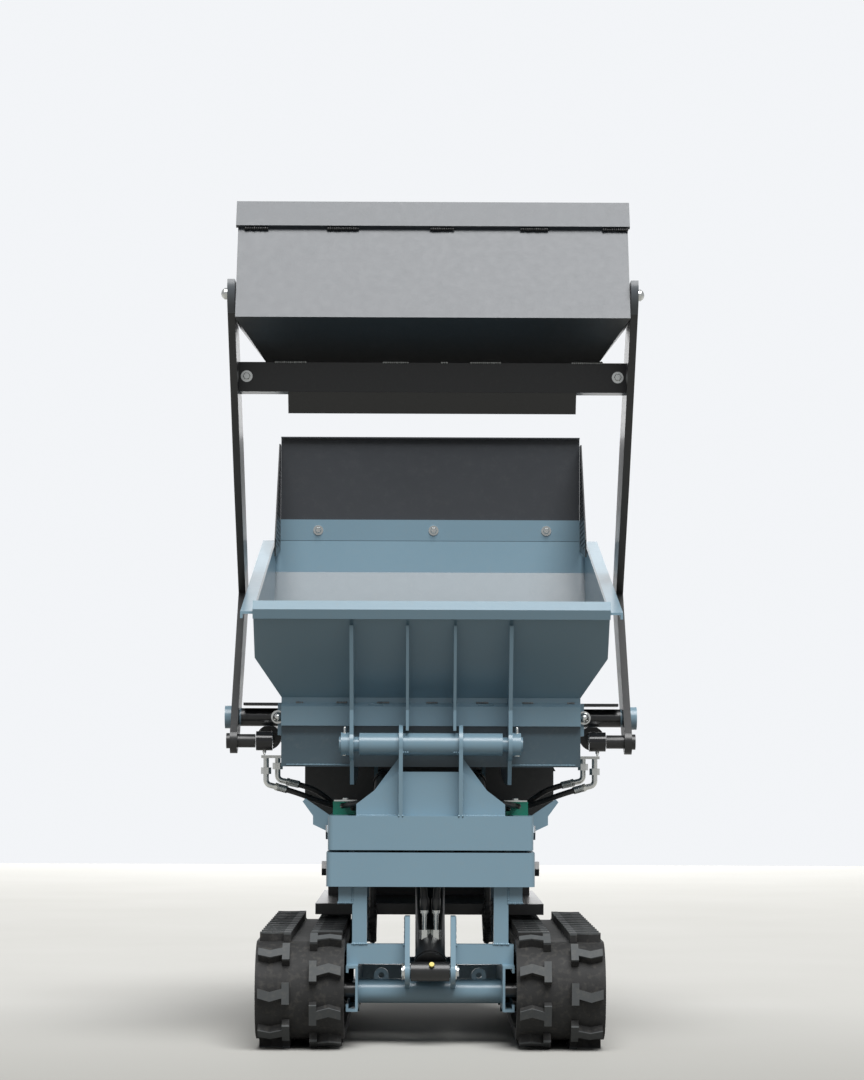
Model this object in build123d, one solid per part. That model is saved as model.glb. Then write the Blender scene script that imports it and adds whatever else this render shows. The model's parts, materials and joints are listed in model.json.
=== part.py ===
"""Tracked site dumper: rubber tracks, a scissor lift under a front-tipping skip, and a self-loading shovel.

Millimetres, +Z up, the front towards -Y, +X to the right seen from the front.  The layout below counts y
from the front of the tracks and z from the ground; every piece is moved back once, when it is written, so
that the origin is on the ground under the middle of the machine.
"""

import os
from math import acos, atan2, cos, degrees, hypot, pi, radians, sin, tan

from build123d import *

os.makedirs("parts", exist_ok=True)

FAR = 3000.0                # past the end of any piece, for cuts

# ---- tracks --------------------------------------------------------------------------------------------
TRACK_PITCH = 72.0          # one link of the rubber belt
TRACK_LINKS = 32
SPROCKET_TEETH = 8          # links round a full turn of the sprocket
TRACK_WIDTH = 180.0
TRACK_GAUGE = 530.0         # between the tracks' middles
BELT_THICKNESS = 22.0
LUG_HEIGHT = 18.0
LUG_GROOVE = 20.0           # half of the plain strip between the two rows of lugs
LUG_SPINE = 15.0            # the lug's bar beside the strip, across the track
LUG_SPINE_LENGTH = 44.0     # and along it
LUG_LEG = 19.0              # width of the leg that runs out to the edge
LUG_BEND = 7.0              # how far the leg bows ahead of the spine's middle
LUG_EDGE = 6.0              # plain edge outside the leg
LUG_ROOT = 1.5              # how deep a lug is rooted in the belt

# ---- wheels in the tracks ------------------------------------------------------------------------------
AXLE_RADIUS = 15.0
ROLLER_RADIUS = 35.0
ROLLERS = 4
WHEEL_CLEARANCE = 0.4       # between a wheel and the belt or guide lug beside it
FLANGE_WIDTH = 38.0         # each of the two treads of a roller
CARRIER_RADIUS = 20.0       # the slide roller under the belt's upper run
CARRIER_HALF = 50.0         # half its width
GUIDE_GAP = 34.0            # between the treads, for the belt's guide lugs

# ---- chassis -------------------------------------------------------------------------------------------
RAIL_DEPTH = 24.0           # side rails, a lipped channel open outwards
RAIL_LOW = 75.0
RAIL_HIGH = 168.0
RAIL_FRONT = 85.0
RAIL_LENGTH = 930.0
RAIL_WALL = 5.0
RAIL_LIP = 14.0
RAIL_TO_TRACK = 3.0
ROUND_TUBE_RADIUS = 25.0
SQUARE_TUBE = 40.0
SQUARE_TUBE_FRONT = 150.0
POST_WIDTH = 30.0
POST_FROM_MIDDLE = 131.0
POST_STUB = 34.0            # height of the stub plate outside each front post
POST_STUB_INSET = 25.0
FRONT_TUBE = (200.0, 109.5)
MIDDLE_TUBE_Y = 640.0
REAR_TUBE_Y = 930.0
LIFT_EAR_RADIUS = 28.0
LIFT_EAR_PLATE = 10.0
LIFT_EAR_TOP = 266.0
TIE_DOWN = (200.0, 142.0)   # hole of the lashing lugs, which stand on the front cross tube
TIE_DOWN_FROM_MIDDLE = 101.0
TIE_DOWN_RADIUS = 6.0
TIE_DOWN_WIDTH = 30.0
TIE_DOWN_PLATE = 12.0

# ---- scissor lift --------------------------------------------------------------------------------------
BEAM_HEIGHT = 70.0          # both frames, base and deck
BEAM_WIDTH = 430.0
BEAM_FRONT = 130.0
BEAM_DEPTH = 50.0
BEAM_CORNER = 12.0
REAR_BEAM_DEPTH = 40.0
BASE_LOW = 327.0
FRAME_GAP = 5.0             # between the closed frames
DECK_INSET = 3.0            # of the deck frame from the base frame, on each side
CHANNEL_WIDTH = 40.0
CHANNEL_WALL = 5.0
FRAME_SPARE = 160.0         # frame length beyond the arms' own
ARM_LENGTH = 760.0          # pin to roller
ARM_DEPTH = 45.0
ARM_THICKNESS = 10.0
ARM_GAP = 4.0               # between an outer and an inner arm
SCISSOR_PIN_Y = 205.0
SCISSOR_PIN_RADIUS = 12.0
BASE_PIN_HEAD = 11.0        # how far the pins' hexagon heads stand out of the base frame
DECK_PIN_HEAD = 6.0         # and out of the deck frame
ROLLER_PLAY = 1.5           # of a scissor roller in its channel
ROLLER_END_PLAY = 6.0       # between a roller's end and the base channel's web
ARM_TO_CHANNEL = 5.0        # between an outer arm and the lower channel's lip
LIFT_ANGLE = 42.0
CROSS_TUBE_RADIUS = 12.0
LIFT_POINT = 0.55           # lift cylinder's upper pin, as a share of the inner arm from its roller

# ---- hydraulic cylinders -------------------------------------------------------------------------------
ROD_PLAY = 0.5              # round a rod in its barrel and a pin in its eye
SIDE_PLAY = 2.0             # beside an eye between its lugs
BARREL_HEAD = 24.0          # length of the gland nut
LIFT_BASE = (130.0, 154.0)
LIFT_BARREL_RADIUS = 31.0
LIFT_ROD_RADIUS = 17.5
LIFT_EYE_RADIUS = 18.0
LIFT_EYE_WIDTH = 80.0
LIFT_HEAD_GAP = 39.0
LIFT_TAIL_GAP = 104.0
TIP_BASE = (225.0, 437.0)
TIP_ROD_PIN = (750.0, 545.0)
TIP_TO_ARM = 49.0           # from a tip cylinder's middle to the inner arm beside it
TIP_BARREL_RADIUS = 27.0
TIP_ROD_RADIUS = 15.0
TIP_EYE_RADIUS = 20.0
TIP_EYE_WIDTH = 36.0
TIP_LUG_PLATE = 8.0
TIP_LUG_RADIUS = 16.0
TIP_LUG_ROOT = 22.0         # the lugs' half height where they are welded to the deck's beam
TIP_HEAD_GAP = 46.0
TIP_TAIL_GAP = 96.0
LOADER_ANCHOR = (780.0, 650.0)
LOADER_ROD_PIN = (181.0, 626.0)
CYLINDER_TO_LOADER_ARM = 56.0   # from the loader cylinder's middle to its arm
LOADER_BARREL_RADIUS = 23.0
LOADER_ROD_RADIUS = 12.5
LOADER_EYE_RADIUS = 20.0
LOADER_EYE_WIDTH = 34.0
LOADER_HEAD_GAP = 199.0
LOADER_TAIL_GAP = 199.0
EYE_PIN_RADIUS = 10.0

# ---- skip ----------------------------------------------------------------------------------------------
HINGE = (150.0, 620.0)
HINGE_PIN_RADIUS = 15.0
HINGE_TUBE_RADIUS = 23.0
HINGE_TUBE_LENGTH = 296.0
HINGE_PLATE_SETBACK = 34.0  # from the deck's front to the back of the bracket's cross plate
HINGE_PLATE_WING = 88.0     # of the cross plate outside each ear
HINGE_PLATE_EDGE = 24.0     # height of the cross plate's ends
HINGE_PLATE_DROP = 57.0     # from the hinge down to the cross plate's middle
HINGE_EAR_FROM_MIDDLE = 58.0
HINGE_EAR_RADIUS = 40.0
GUSSET_DROP = 28.0
SIDE_BRACKET_Y = 236.0
SIDE_BRACKET = 50.0         # how far the slanted hose brackets reach out from the deck
TIP_ANGLE = 75.0
SKIP_WALL = 4.0
SKIP_FLOOR = 573.0
SKIP_TO_SHOVEL = 35.0       # how far the skip's top stays inside the shovel's width, on each side
SKIP_FLARE = 53.0           # of each side, outwards
SKIP_SIDE_BEND = 717.0      # height where the sides start to flare
SKIP_SIDE_TOP_BEND = 797.0  # and where they stand upright again
SKIP_FRONT = 200.0
SKIP_LIP = (45.0, 890.0)
SKIP_FLOOR_END = 800.0
SKIP_BACK_BEND = (990.0, 1022.0)
SKIP_BACK_TOP = (1000.0, 1098.0)
RIM_WIDTH = 26.0
RIM_HEM = 14.0
RIM_WALL = 5.0
STIFFENER_LOW = 658.0
STIFFENER_HIGH = 706.0
STIFFENER_DEPTH = 16.0
RIB_THICKNESS = 8.0
RIB_TOP = 862.0             # where the ribs end, just under the lip
RIB_TOP_DEPTH = 22.0
RIB_SHOULDER = 690.0        # from here down their front edge is upright
RIB_FRONT = 28.0            # how far that edge stands ahead of the hinge
RIB_EYE_RADIUS = 34.0
RIB_LOW = 536.0             # lower edge of the outer ribs under the skip's floor
RIB_DEEP = (196.0, 420.0)   # from where to where they are that deep
RIB_END = 60.0              # how far before the floor's rear end they stop
RIB_FROM_MIDDLE = 160.0
INNER_RIB_THICKNESS = 6.0
INNER_RIB_FROM_MIDDLE = 46.0
INNER_RIB_LOW = 648.0
ROD_LUG_TOP = 36.0          # half length of the tip rod's lugs at the skip's floor
ROD_LUG_BOTTOM = 18.0       # and at their lower edge
COLLAR_RADIUS = 24.0
COLLAR_WIDTH = 18.0
GUARD_INSET = 15.0          # of the guard from each side of the skip's top
GUARD_LOW = 1147.0
GUARD_HIGH = 1341.0
GUARD_WALL = 3.0
GUARD_WING = 260.0          # how far the side wings reach forwards
PLATE = 6.0                 # general plate thickness

# ---- loader --------------------------------------------------------------------------------------------
LOADER_PIVOT = (250.0, 676.0)
LOADER_BEND = (520.0, 948.0)
SHOVEL_PIN = (0.0, 1536.0)
LOADER_ANGLE = 117.5
SHOVEL_TO_ARM = 2.0
LOADER_ARM_THICKNESS = 15.0
ARM_PIVOT_RADIUS = 42.0
ARM_BEND_RADIUS = 52.0
ARM_UPPER_RADIUS = 64.0
ARM_TOP_RADIUS = 52.0
ARM_TIP = 24.0              # where the arm is cut off level, above the shovel's pin
ARM_LOBE_RADIUS = 26.0
PIVOT_TUBE_RADIUS = 19.0
PIVOT_COLLAR_WIDTH = 14.0
PIVOT_PLATE_HALF = 38.0     # half length of the plate behind each pivot tube
ANCHOR_PLATE_HALF = 32.0
PIVOT_SHELF = 700.0         # plate over each pivot tube
PIVOT_SHELF_INSET = 10.0    # from the loader arm
SHOVEL_WIDTH = 800.0
SHOVEL_TAPER = 110.0        # how much narrower the shovel's back ends
SHOVEL_WALL = 6.0
SHOVEL_HEEL = (-60.0, 1481.0)
SHOVEL_FLOOR_LENGTH = 258.0
SHOVEL_TILT = 24.0          # floor's lean back from upright in the raised pose
SHOVEL_BACK_END = (140.0, 1411.0)
BLADE_HEIGHT = 62.0
BLADE_WALL = 10.0
BLADE_PROUD = 18.0          # of the blade beyond the floor's edge
BLADE_OVERHANG = 4.0        # of the blade past the shovel on each side
CROSSBAR = (136.0, 1382.0)
CROSSBAR_HEIGHT = 62.0
CROSSBAR_DEPTH = 50.0
SPOUT_INSET = 100.0         # of the spout plate from each side of the shovel
SPOUT_LOW = 1309.0

# ---- engine end ----------------------------------------------------------------------------------------
DECK_TOP = 270.0
DECK_WIDTH = 504.0
DECK_FRONT = 620.0
DECK_PAST_COWL = 5.0
DECK_SKIRT = 24.0
COWL_GAP = 12.0             # between the frames and the cowl
COWL_DEPTH = 263.0
COWL_WIDTH = 584.0
COWL_FOOT_WIDTH = 472.0
COWL_WAIST_LOW = 420.0
COWL_WAIST_HIGH = 484.0
COWL_TOP = 900.0
COWL_WALL = 4.0
COWL_CORNER = 40.0
DOOR_LOW = 500.0
DOOR_HIGH = 840.0
DOOR_FROM_FRONT = 38.0
DOOR_WIDTH = 190.0
DOOR_GAP = 5.0
DOOR_ANGLE = 110.0
ENGINE_SIZE = (320.0, 190.0, 400.0)
ENGINE_SETBACK = 30.0       # from the cowl's front
CONSOLE_WIDTH = 380.0
CONSOLE_LOW = 660.0
CONSOLE_TOP = 1050.0
CONSOLE_DEPTH = 80.0
HANDLE_PAST_COWL = 155.0
HANDLE_HEIGHT = 985.0
HANDLE_RADIUS = 12.5
LEVERS = 5
PLATFORM_HINGE_OUT = 16.0   # behind the engine deck
PLATFORM_HINGE_Z = 250.0
PLATFORM_WIDTH = 420.0
PLATFORM_LENGTH = 380.0
PLATFORM_ANGLE = 88.0
PLATFORM_PIN_RADIUS = 6.0

# ---- hoses, each along its own points (x, y, z) ----------------------------------------------------------
HOSE_RADIUS = 6.0
LIFT_HOSE_RADIUS = 7.0
PIPE_BEND = 12.0
CLAMP_REACH = 59.0          # from the deck's side in to a hose clamp's inner end
CLAMP_WIDTH = 52.0
CLAMP_Y = 262.0
CLAMP_DEPTH = 30.0
CLAMP_HEIGHT = 28.0
PORT_HALF = 48.0            # half width of the valve block
PORT_BACK = 226.0
PORT_HIGH = 545.0
SIDE_PORT_Y = 400.0
SIDE_PORT_X = 206.0
FITTING_SHELF = 590.0       # height of the plate that holds the skip's pipes
FITTING_SHELF_REACH = 50.0
FITTING_SHELF_EDGE = 14.0
FITTING_NUT = 19.0          # across its flats
FITTING_NUT_HEIGHT = 14.0
PIPE_RUN = 22.0             # from a hose's end out to its upright pipe
PIPE_FALL = 5.0
LIFT_PORT_LOW = 214.0
DECK_HOSES = [
    [(PORT_HALF, 188, 488), (112, 189, 487), (166, 250, 486), (166, SIDE_PORT_Y, 486)],
    [(PORT_HALF, 188, 504), (126, 190, 501), (192, 260, 490), (192, SIDE_PORT_Y, 486)],
]
LIFT_HOSE = [
    (12, 194, 278), (12, 194, 347), (44, 227, 393), (89, 273, 393), (121.5, 305, 350), (121.5, 312, 262),
    (122, 370, 205), (122, 470, 200), (122, 560, 230), (122, DECK_FRONT, 255),
]

# ---- worked out from the sizes above -------------------------------------------------------------------
belt_middle_radius = TRACK_PITCH * SPROCKET_TEETH / (2 * pi)
belt_outer_radius = belt_middle_radius + BELT_THICKNESS * 0.36
belt_inner_radius = belt_outer_radius - BELT_THICKNESS
axle_z = LUG_HEIGHT + belt_outer_radius
front_axle_y = LUG_HEIGHT + belt_outer_radius
axle_distance = (TRACK_LINKS - SPROCKET_TEETH) * TRACK_PITCH / 2
rear_axle_y = front_axle_y + axle_distance
track_middle = TRACK_GAUGE / 2
track_inner_side = track_middle - TRACK_WIDTH / 2
rail_outer = track_inner_side - RAIL_TO_TRACK
rail_inner = rail_outer - RAIL_DEPTH
rail_end = RAIL_FRONT + RAIL_LENGTH
tube_end = SQUARE_TUBE_FRONT + SQUARE_TUBE
tube_top = RAIL_HIGH + SQUARE_TUBE
lift_ear_inner = LIFT_EYE_WIDTH / 2 + SIDE_PLAY
lift_ear_outer = lift_ear_inner + LIFT_EAR_PLATE

frame_half = BEAM_WIDTH / 2
frame_end = BEAM_FRONT + ARM_LENGTH + FRAME_SPARE
outer_arm_from_middle = frame_half - CHANNEL_WIDTH - ARM_TO_CHANNEL - ARM_THICKNESS
base_middle_z = BASE_LOW + BEAM_HEIGHT / 2
deck_low = BASE_LOW + BEAM_HEIGHT + FRAME_GAP
deck_high = deck_low + BEAM_HEIGHT
deck_middle_z = deck_low + BEAM_HEIGHT / 2
closed_rise = deck_middle_z - base_middle_z
deck_half = frame_half - DECK_INSET
clamp_from_middle = deck_half - CLAMP_REACH
hinge_ear_outer = HINGE_EAR_FROM_MIDDLE + RIB_THICKNESS
hinge_plate_back = BEAM_FRONT + HINGE_PLATE_SETBACK
cowl_front = frame_end + COWL_GAP
cowl_end = cowl_front + COWL_DEPTH
deck_end = cowl_end + DECK_PAST_COWL
door_front = cowl_front + DOOR_FROM_FRONT
door_end = door_front + DOOR_WIDTH
handle_reach = cowl_end + HANDLE_PAST_COWL
platform_hinge = (deck_end + PLATFORM_HINGE_OUT, PLATFORM_HINGE_Z)
arm_reach = (ARM_LENGTH**2 - closed_rise**2) ** 0.5
closed_angle = degrees(atan2(closed_rise, arm_reach))
outer_pin = (SCISSOR_PIN_Y, base_middle_z)
inner_pin = (SCISSOR_PIN_Y, deck_middle_z)
outer_roller = (SCISSOR_PIN_Y + arm_reach, deck_middle_z)
inner_roller = (SCISSOR_PIN_Y + arm_reach, base_middle_z)
centre_pin = (SCISSOR_PIN_Y + arm_reach / 2, (base_middle_z + deck_middle_z) / 2)
lift_pin = (
    inner_roller[0] + LIFT_POINT * (inner_pin[0] - inner_roller[0]),
    inner_roller[1] + LIFT_POINT * (inner_pin[1] - inner_roller[1]),
)
inner_arm_from_middle = outer_arm_from_middle - ARM_GAP - ARM_THICKNESS
tip_from_middle = inner_arm_from_middle - TIP_TO_ARM
skip_top_width = SHOVEL_WIDTH - 2 * SKIP_TO_SHOVEL
skip_bottom_width = skip_top_width - 2 * SKIP_FLARE
guard_width = skip_top_width - 2 * GUARD_INSET
skip_half = skip_top_width / 2
skip_side_low = skip_bottom_width / 2
skip_hose_points = [
    [(skip_side_low + 18, 392, 529), (286, 378, 517), (244, 392, 500), (SIDE_PORT_X, 407, 488)],
    [(skip_side_low - 6, 408, 539), (264, 399, 530), (230, 409, 512), (SIDE_PORT_X, 422, 491)],
]
loader_arm_from_middle = SHOVEL_WIDTH / 2 + SHOVEL_TO_ARM
loader_cylinder_from_middle = loader_arm_from_middle - CYLINDER_TO_LOADER_ARM
shovel_tip = (
    SHOVEL_HEEL[0] + SHOVEL_FLOOR_LENGTH * sin(radians(SHOVEL_TILT)),
    SHOVEL_HEEL[1] + SHOVEL_FLOOR_LENGTH * cos(radians(SHOVEL_TILT)),
)



# ---- helpers -------------------------------------------------------------------------------------------
def side_plate(outline, x_low, x_high):
    """A plate cut to an outline of (y, z) points, from x_low to x_high."""
    wire = Wire.make_polygon([Vector(x_low, y, z) for y, z in outline], close=True)
    return Solid.extrude(Face(wire), Vector(x_high - x_low, 0, 0))


def front_plate(outline, y_low, y_high):
    """A plate cut to an outline of (x, z) points, from y_low to y_high."""
    wire = Wire.make_polygon([Vector(x, y_low, z) for x, z in outline], close=True)
    return Solid.extrude(Face(wire), Vector(0, y_high - y_low, 0))


def block(x_low, x_high, y_low, y_high, z_low, z_high):
    """A plain bar or plate between two corners."""
    return Solid.make_box(
        x_high - x_low, y_high - y_low, z_high - z_low, Plane(origin=(x_low, y_low, z_low))
    )


def cross_rod(centre, radius, x_low, x_high):
    """A round bar across the machine through a (y, z) centre."""
    plane = Plane(origin=(x_low, centre[0], centre[1]), x_dir=(0, 1, 0), z_dir=(1, 0, 0))
    return Solid.make_cylinder(radius, x_high - x_low, plane)


def hex_head(centre, radius, x_low, x_high):
    """A hexagon head across the machine, round a (y, z) centre."""
    corners = [(centre[0] + radius * cos(k * pi / 3), centre[1] + radius * sin(k * pi / 3)) for k in range(6)]
    return side_plate(corners, x_low, x_high)


def rod_along(start, direction, radius, length):
    """A round bar from a 3D start point along a 3D direction."""
    return Solid.make_cylinder(radius, length, Plane(origin=start, z_dir=direction))


def fused(shapes):
    """One shape out of several that touch or overlap."""
    first, *rest = shapes
    return first.fuse(*rest).clean() if rest else first


def cut(shape, *tools):
    """A shape with others cut away."""
    return shape.cut(*tools)


def mirrored(shape):
    """The same piece on the other side of the machine."""
    return shape.mirror(Plane.YZ)


def pair(shape):
    """A piece and its mirror image, which do not touch."""
    return Compound([*shape.solids(), *mirrored(shape).solids()])


def both_sides(pieces):
    """The solids of several pieces and of their mirror images."""
    return [solid for piece in pieces for solid in pair(piece).solids()]


def ring_sector(a, b):
    """The four points where two straight edges touch the circles (y, z, r) a and b."""
    gap = hypot(b[0] - a[0], b[1] - a[1])
    along = atan2(b[1] - a[1], b[0] - a[0])
    lean = acos((a[2] - b[2]) / gap)
    return [
        (c[0] + c[2] * cos(along + side * lean), c[1] + c[2] * sin(along + side * lean))
        for c, side in ((a, 1), (b, 1), (b, -1), (a, -1))
    ]


def link_plate(discs, x_low, x_high):
    """A plate that runs round a chain of discs (y, z, r), like a belt round each pair of them."""
    pieces = [cross_rod(d[:2], d[2], x_low, x_high) for d in discs]
    pieces += [side_plate(ring_sector(a, b), x_low, x_high) for a, b in zip(discs, discs[1:])]
    return fused(pieces)


def between(a, b, share):
    """The point at a share of the way from a to b."""
    return (a[0] + share * (b[0] - a[0]), a[1] + share * (b[1] - a[1]))


def folded_tub(side, front, wall, x_half, y_low, y_high, open_side):
    """A sheet-metal tub: the overlap of a side and a front outline, hollowed to its wall.

    open_side gives the side outline of the hollow's mouth, which runs past the rim.
    """
    outer = side_plate(side, -x_half, x_half).intersect(front_plate(front, y_low, y_high))
    hollow_side = offset_outline(open_side, -wall)
    hollow_front = offset_outline(front, -wall)
    inner = side_plate(hollow_side, -x_half, x_half).intersect(front_plate(hollow_front, y_low, y_high))
    return cut(solid_of(outer), solid_of(inner))


def solid_of(result):
    """The one solid in the result of an intersection."""
    return result.solids()[0] if hasattr(result, "solids") else result[0]


def offset_outline(outline, amount):
    """A closed outline of straight runs moved out, or in where amount is negative."""
    area = sum(a[0] * b[1] - b[0] * a[1] for a, b in zip(outline, outline[1:] + outline[:1]))
    turn = 1 if area > 0 else -1
    moved = []
    for before, here, after in zip(outline[-1:] + outline[:-1], outline, outline[1:] + outline[:1]):
        in_dir = Vector(here[0] - before[0], here[1] - before[1]).normalized()
        out_dir = Vector(after[0] - here[0], after[1] - here[1]).normalized()
        n_in = Vector(in_dir.Y, -in_dir.X) * turn
        n_out = Vector(out_dir.Y, -out_dir.X) * turn
        bisector = (n_in + n_out).normalized()
        step = amount / bisector.dot(n_in)
        moved.append((here[0] + bisector.X * step, here[1] + bisector.Y * step))
    return moved


# ---- tracks --------------------------------------------------------------------------------------------
def belt_point(distance, radius):
    """(y, z) and heading of the belt's outside at a distance round it, from the front of the bottom run."""
    wrap = pi * belt_middle_radius
    distance %= TRACK_LINKS * TRACK_PITCH
    if distance < axle_distance:
        return (front_axle_y + distance, axle_z - radius), 0.0
    distance -= axle_distance
    if distance < wrap:
        turn = distance / belt_middle_radius
        return (rear_axle_y + radius * sin(turn), axle_z - radius * cos(turn)), turn
    distance -= wrap
    if distance < axle_distance:
        return (rear_axle_y - distance, axle_z + radius), pi
    turn = pi + (distance - axle_distance) / belt_middle_radius
    return (front_axle_y + radius * sin(turn), axle_z - radius * cos(turn)), turn


def stadium(radius, x_low, x_high):
    """A closed run round both axles at one radius."""
    low, high = axle_z - radius, axle_z + radius
    return fused([
        cross_rod((front_axle_y, axle_z), radius, x_low, x_high),
        cross_rod((rear_axle_y, axle_z), radius, x_low, x_high),
        block(x_low, x_high, front_axle_y, rear_axle_y, low, high),
    ])


def lug(side, distance):
    """One T-shaped lug: a spine beside the middle strip and a bowed leg out to the edge."""
    inner = LUG_GROOVE
    spine_end = inner + LUG_SPINE
    edge = TRACK_WIDTH / 2 - LUG_EDGE
    bow = (spine_end + edge) / 2
    half_spine, half_leg = LUG_SPINE_LENGTH / 2, LUG_LEG / 2
    outline = [
        (inner, -half_spine), (spine_end, -half_spine), (spine_end, -half_leg),
        (bow, -half_leg - LUG_BEND), (edge, -half_leg), (edge, half_leg),
        (bow, half_leg - LUG_BEND), (spine_end, half_leg), (spine_end, half_spine), (inner, half_spine),
    ]
    (y, z), heading = belt_point(distance, belt_outer_radius - LUG_ROOT)
    plane = Plane(
        origin=(track_middle, y, z), x_dir=(side, 0, 0),
        z_dir=(0, sin(heading), -cos(heading)),
    )
    wire = Wire.make_polygon([plane.from_local_coords(Vector(x, s, 0)) for x, s in outline], close=True)
    return Solid.extrude(Face(wire), plane.z_dir * (LUG_HEIGHT + LUG_ROOT))


def make_track():
    """One rubber belt with its two rows of lugs, half a link apart."""
    low, high = track_middle - TRACK_WIDTH / 2, track_middle + TRACK_WIDTH / 2
    belt = cut(stadium(belt_outer_radius, low, high), stadium(belt_inner_radius, low - 1, high + 1))
    lugs = []
    for link in range(TRACK_LINKS):
        lugs.append(lug(1, link * TRACK_PITCH))
        lugs.append(lug(-1, (link + 0.5) * TRACK_PITCH))
    return belt.fuse(*lugs)


def make_wheel(centre, radius, teeth=0):
    """A track wheel: two treads either side of the guide lugs, on an axle from the side rail."""
    half_gap = GUIDE_GAP / 2
    tread = half_gap + FLANGE_WIDTH
    hub_radius = radius * 0.62
    pieces = [
        cross_rod(centre, hub_radius, track_middle - half_gap, track_middle + half_gap),
        cross_rod(centre, radius, track_middle - tread, track_middle - half_gap),
        cross_rod(centre, radius, track_middle + half_gap, track_middle + tread),
        cross_rod(centre, min(AXLE_RADIUS, hub_radius), rail_inner, track_middle - half_gap),
    ]
    for tooth in range(teeth):
        turn = 2 * pi * tooth / teeth
        spot = (centre[0] + (radius - 22) * cos(turn), centre[1] + (radius - 22) * sin(turn))
        pieces.append(cross_rod(spot, 14, track_middle - half_gap, track_middle + half_gap))
    return fused(pieces)


# ---- chassis -------------------------------------------------------------------------------------------
def lipped_channel(x_web, x_open, z_low, z_high, y_low, y_high, wall, lip):
    """A channel along the machine, its web at x_web and its lipped mouth at x_open."""
    way = 1 if x_open > x_web else -1
    outline = [
        (x_web, z_low), (x_open, z_low), (x_open, z_low + lip), (x_open - way * wall, z_low + lip),
        (x_open - way * wall, z_low + wall), (x_web + way * wall, z_low + wall),
        (x_web + way * wall, z_high - wall), (x_open - way * wall, z_high - wall),
        (x_open - way * wall, z_high - lip), (x_open, z_high - lip), (x_open, z_high), (x_web, z_high),
    ]
    return front_plate(outline, y_low, y_high)


def make_rail():
    """One side rail: a lipped channel open to its track."""
    return lipped_channel(
        rail_inner, rail_outer, RAIL_LOW, RAIL_HIGH, RAIL_FRONT, rail_end, RAIL_WALL, RAIL_LIP)


def make_cross_tubes():
    """The tubes between the rails, and the two halves of the square tube that lie on them at the front."""
    square = block(lift_ear_outer, rail_outer, SQUARE_TUBE_FRONT, tube_end, RAIL_HIGH, tube_top)
    return Compound([
        cross_rod(FRONT_TUBE, ROUND_TUBE_RADIUS, -rail_inner, rail_inner),
        cross_rod((REAR_TUBE_Y, FRONT_TUBE[1]), ROUND_TUBE_RADIUS, -rail_inner, rail_inner),
        block(-rail_inner, rail_inner, MIDDLE_TUBE_Y, MIDDLE_TUBE_Y + SQUARE_TUBE,
              RAIL_LOW + RAIL_WALL * 4, RAIL_LOW + RAIL_WALL * 4 + SQUARE_TUBE),
        square, mirrored(square),
    ])


def make_posts():
    """The four posts under the scissor base; the rear two stand on the risers that carry the engine deck."""
    post_outer = POST_FROM_MIDDLE + POST_WIDTH
    front = fused([
        block(POST_FROM_MIDDLE, post_outer, SQUARE_TUBE_FRONT, tube_end, tube_top, BASE_LOW),
        block(post_outer, frame_half - POST_STUB_INSET, SQUARE_TUBE_FRONT, tube_end,
              BASE_LOW - POST_STUB, BASE_LOW),
    ])
    rear = fused([
        block(POST_FROM_MIDDLE, post_outer, REAR_TUBE_Y, REAR_TUBE_Y + SQUARE_TUBE, RAIL_HIGH, BASE_LOW),
        block(rail_inner, rail_outer, DECK_FRONT + 20, rail_end, RAIL_HIGH, DECK_TOP - PLATE),
    ])
    return Compound([front, mirrored(front), rear, mirrored(rear)])


def make_chassis_lugs():
    """The lift cylinder's ears, each with its half of the pin, and the lashing lugs on the front tube."""
    ear = fused([
        cross_rod(LIFT_BASE, LIFT_EAR_RADIUS, lift_ear_inner, lift_ear_outer),
        side_plate(
            [(LIFT_BASE[0] - LIFT_EAR_RADIUS, LIFT_BASE[1]), (SQUARE_TUBE_FRONT - 24, LIFT_EAR_TOP),
             (tube_end, LIFT_EAR_TOP), (tube_end + 20, FRONT_TUBE[1]),
             (LIFT_BASE[0], LIFT_BASE[1] - LIFT_EAR_RADIUS)],
            lift_ear_inner, lift_ear_outer),
        cross_rod(LIFT_BASE, EYE_PIN_RADIUS, 0.5, lift_ear_outer + 6),
    ])
    front_tube = cross_rod(FRONT_TUBE, ROUND_TUBE_RADIUS, -rail_inner, rail_inner)
    start = (TIE_DOWN_FROM_MIDDLE, TIE_DOWN[0] - TIE_DOWN_PLATE / 2, TIE_DOWN[1])
    lug_piece = fused([
        rod_along(start, (0, 1, 0), TIE_DOWN_WIDTH / 2, TIE_DOWN_PLATE),
        block(TIE_DOWN_FROM_MIDDLE - TIE_DOWN_WIDTH / 2, TIE_DOWN_FROM_MIDDLE + TIE_DOWN_WIDTH / 2,
              start[1], start[1] + TIE_DOWN_PLATE, FRONT_TUBE[1], TIE_DOWN[1]),
    ])
    lug_piece = cut(lug_piece, rod_along(start, (0, 1, 0), TIE_DOWN_RADIUS, TIE_DOWN_PLATE), front_tube)
    ear = cut(ear, front_tube)
    return Compound(both_sides([ear, lug_piece]))


def make_base_frame():
    """Lower scissor frame: front and rear beams, side channels open inwards, and the arms' fixed pins."""
    return make_scissor_frame(BASE_LOW, outer_arm_from_middle - 1, BEAM_WIDTH, BASE_PIN_HEAD)


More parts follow.
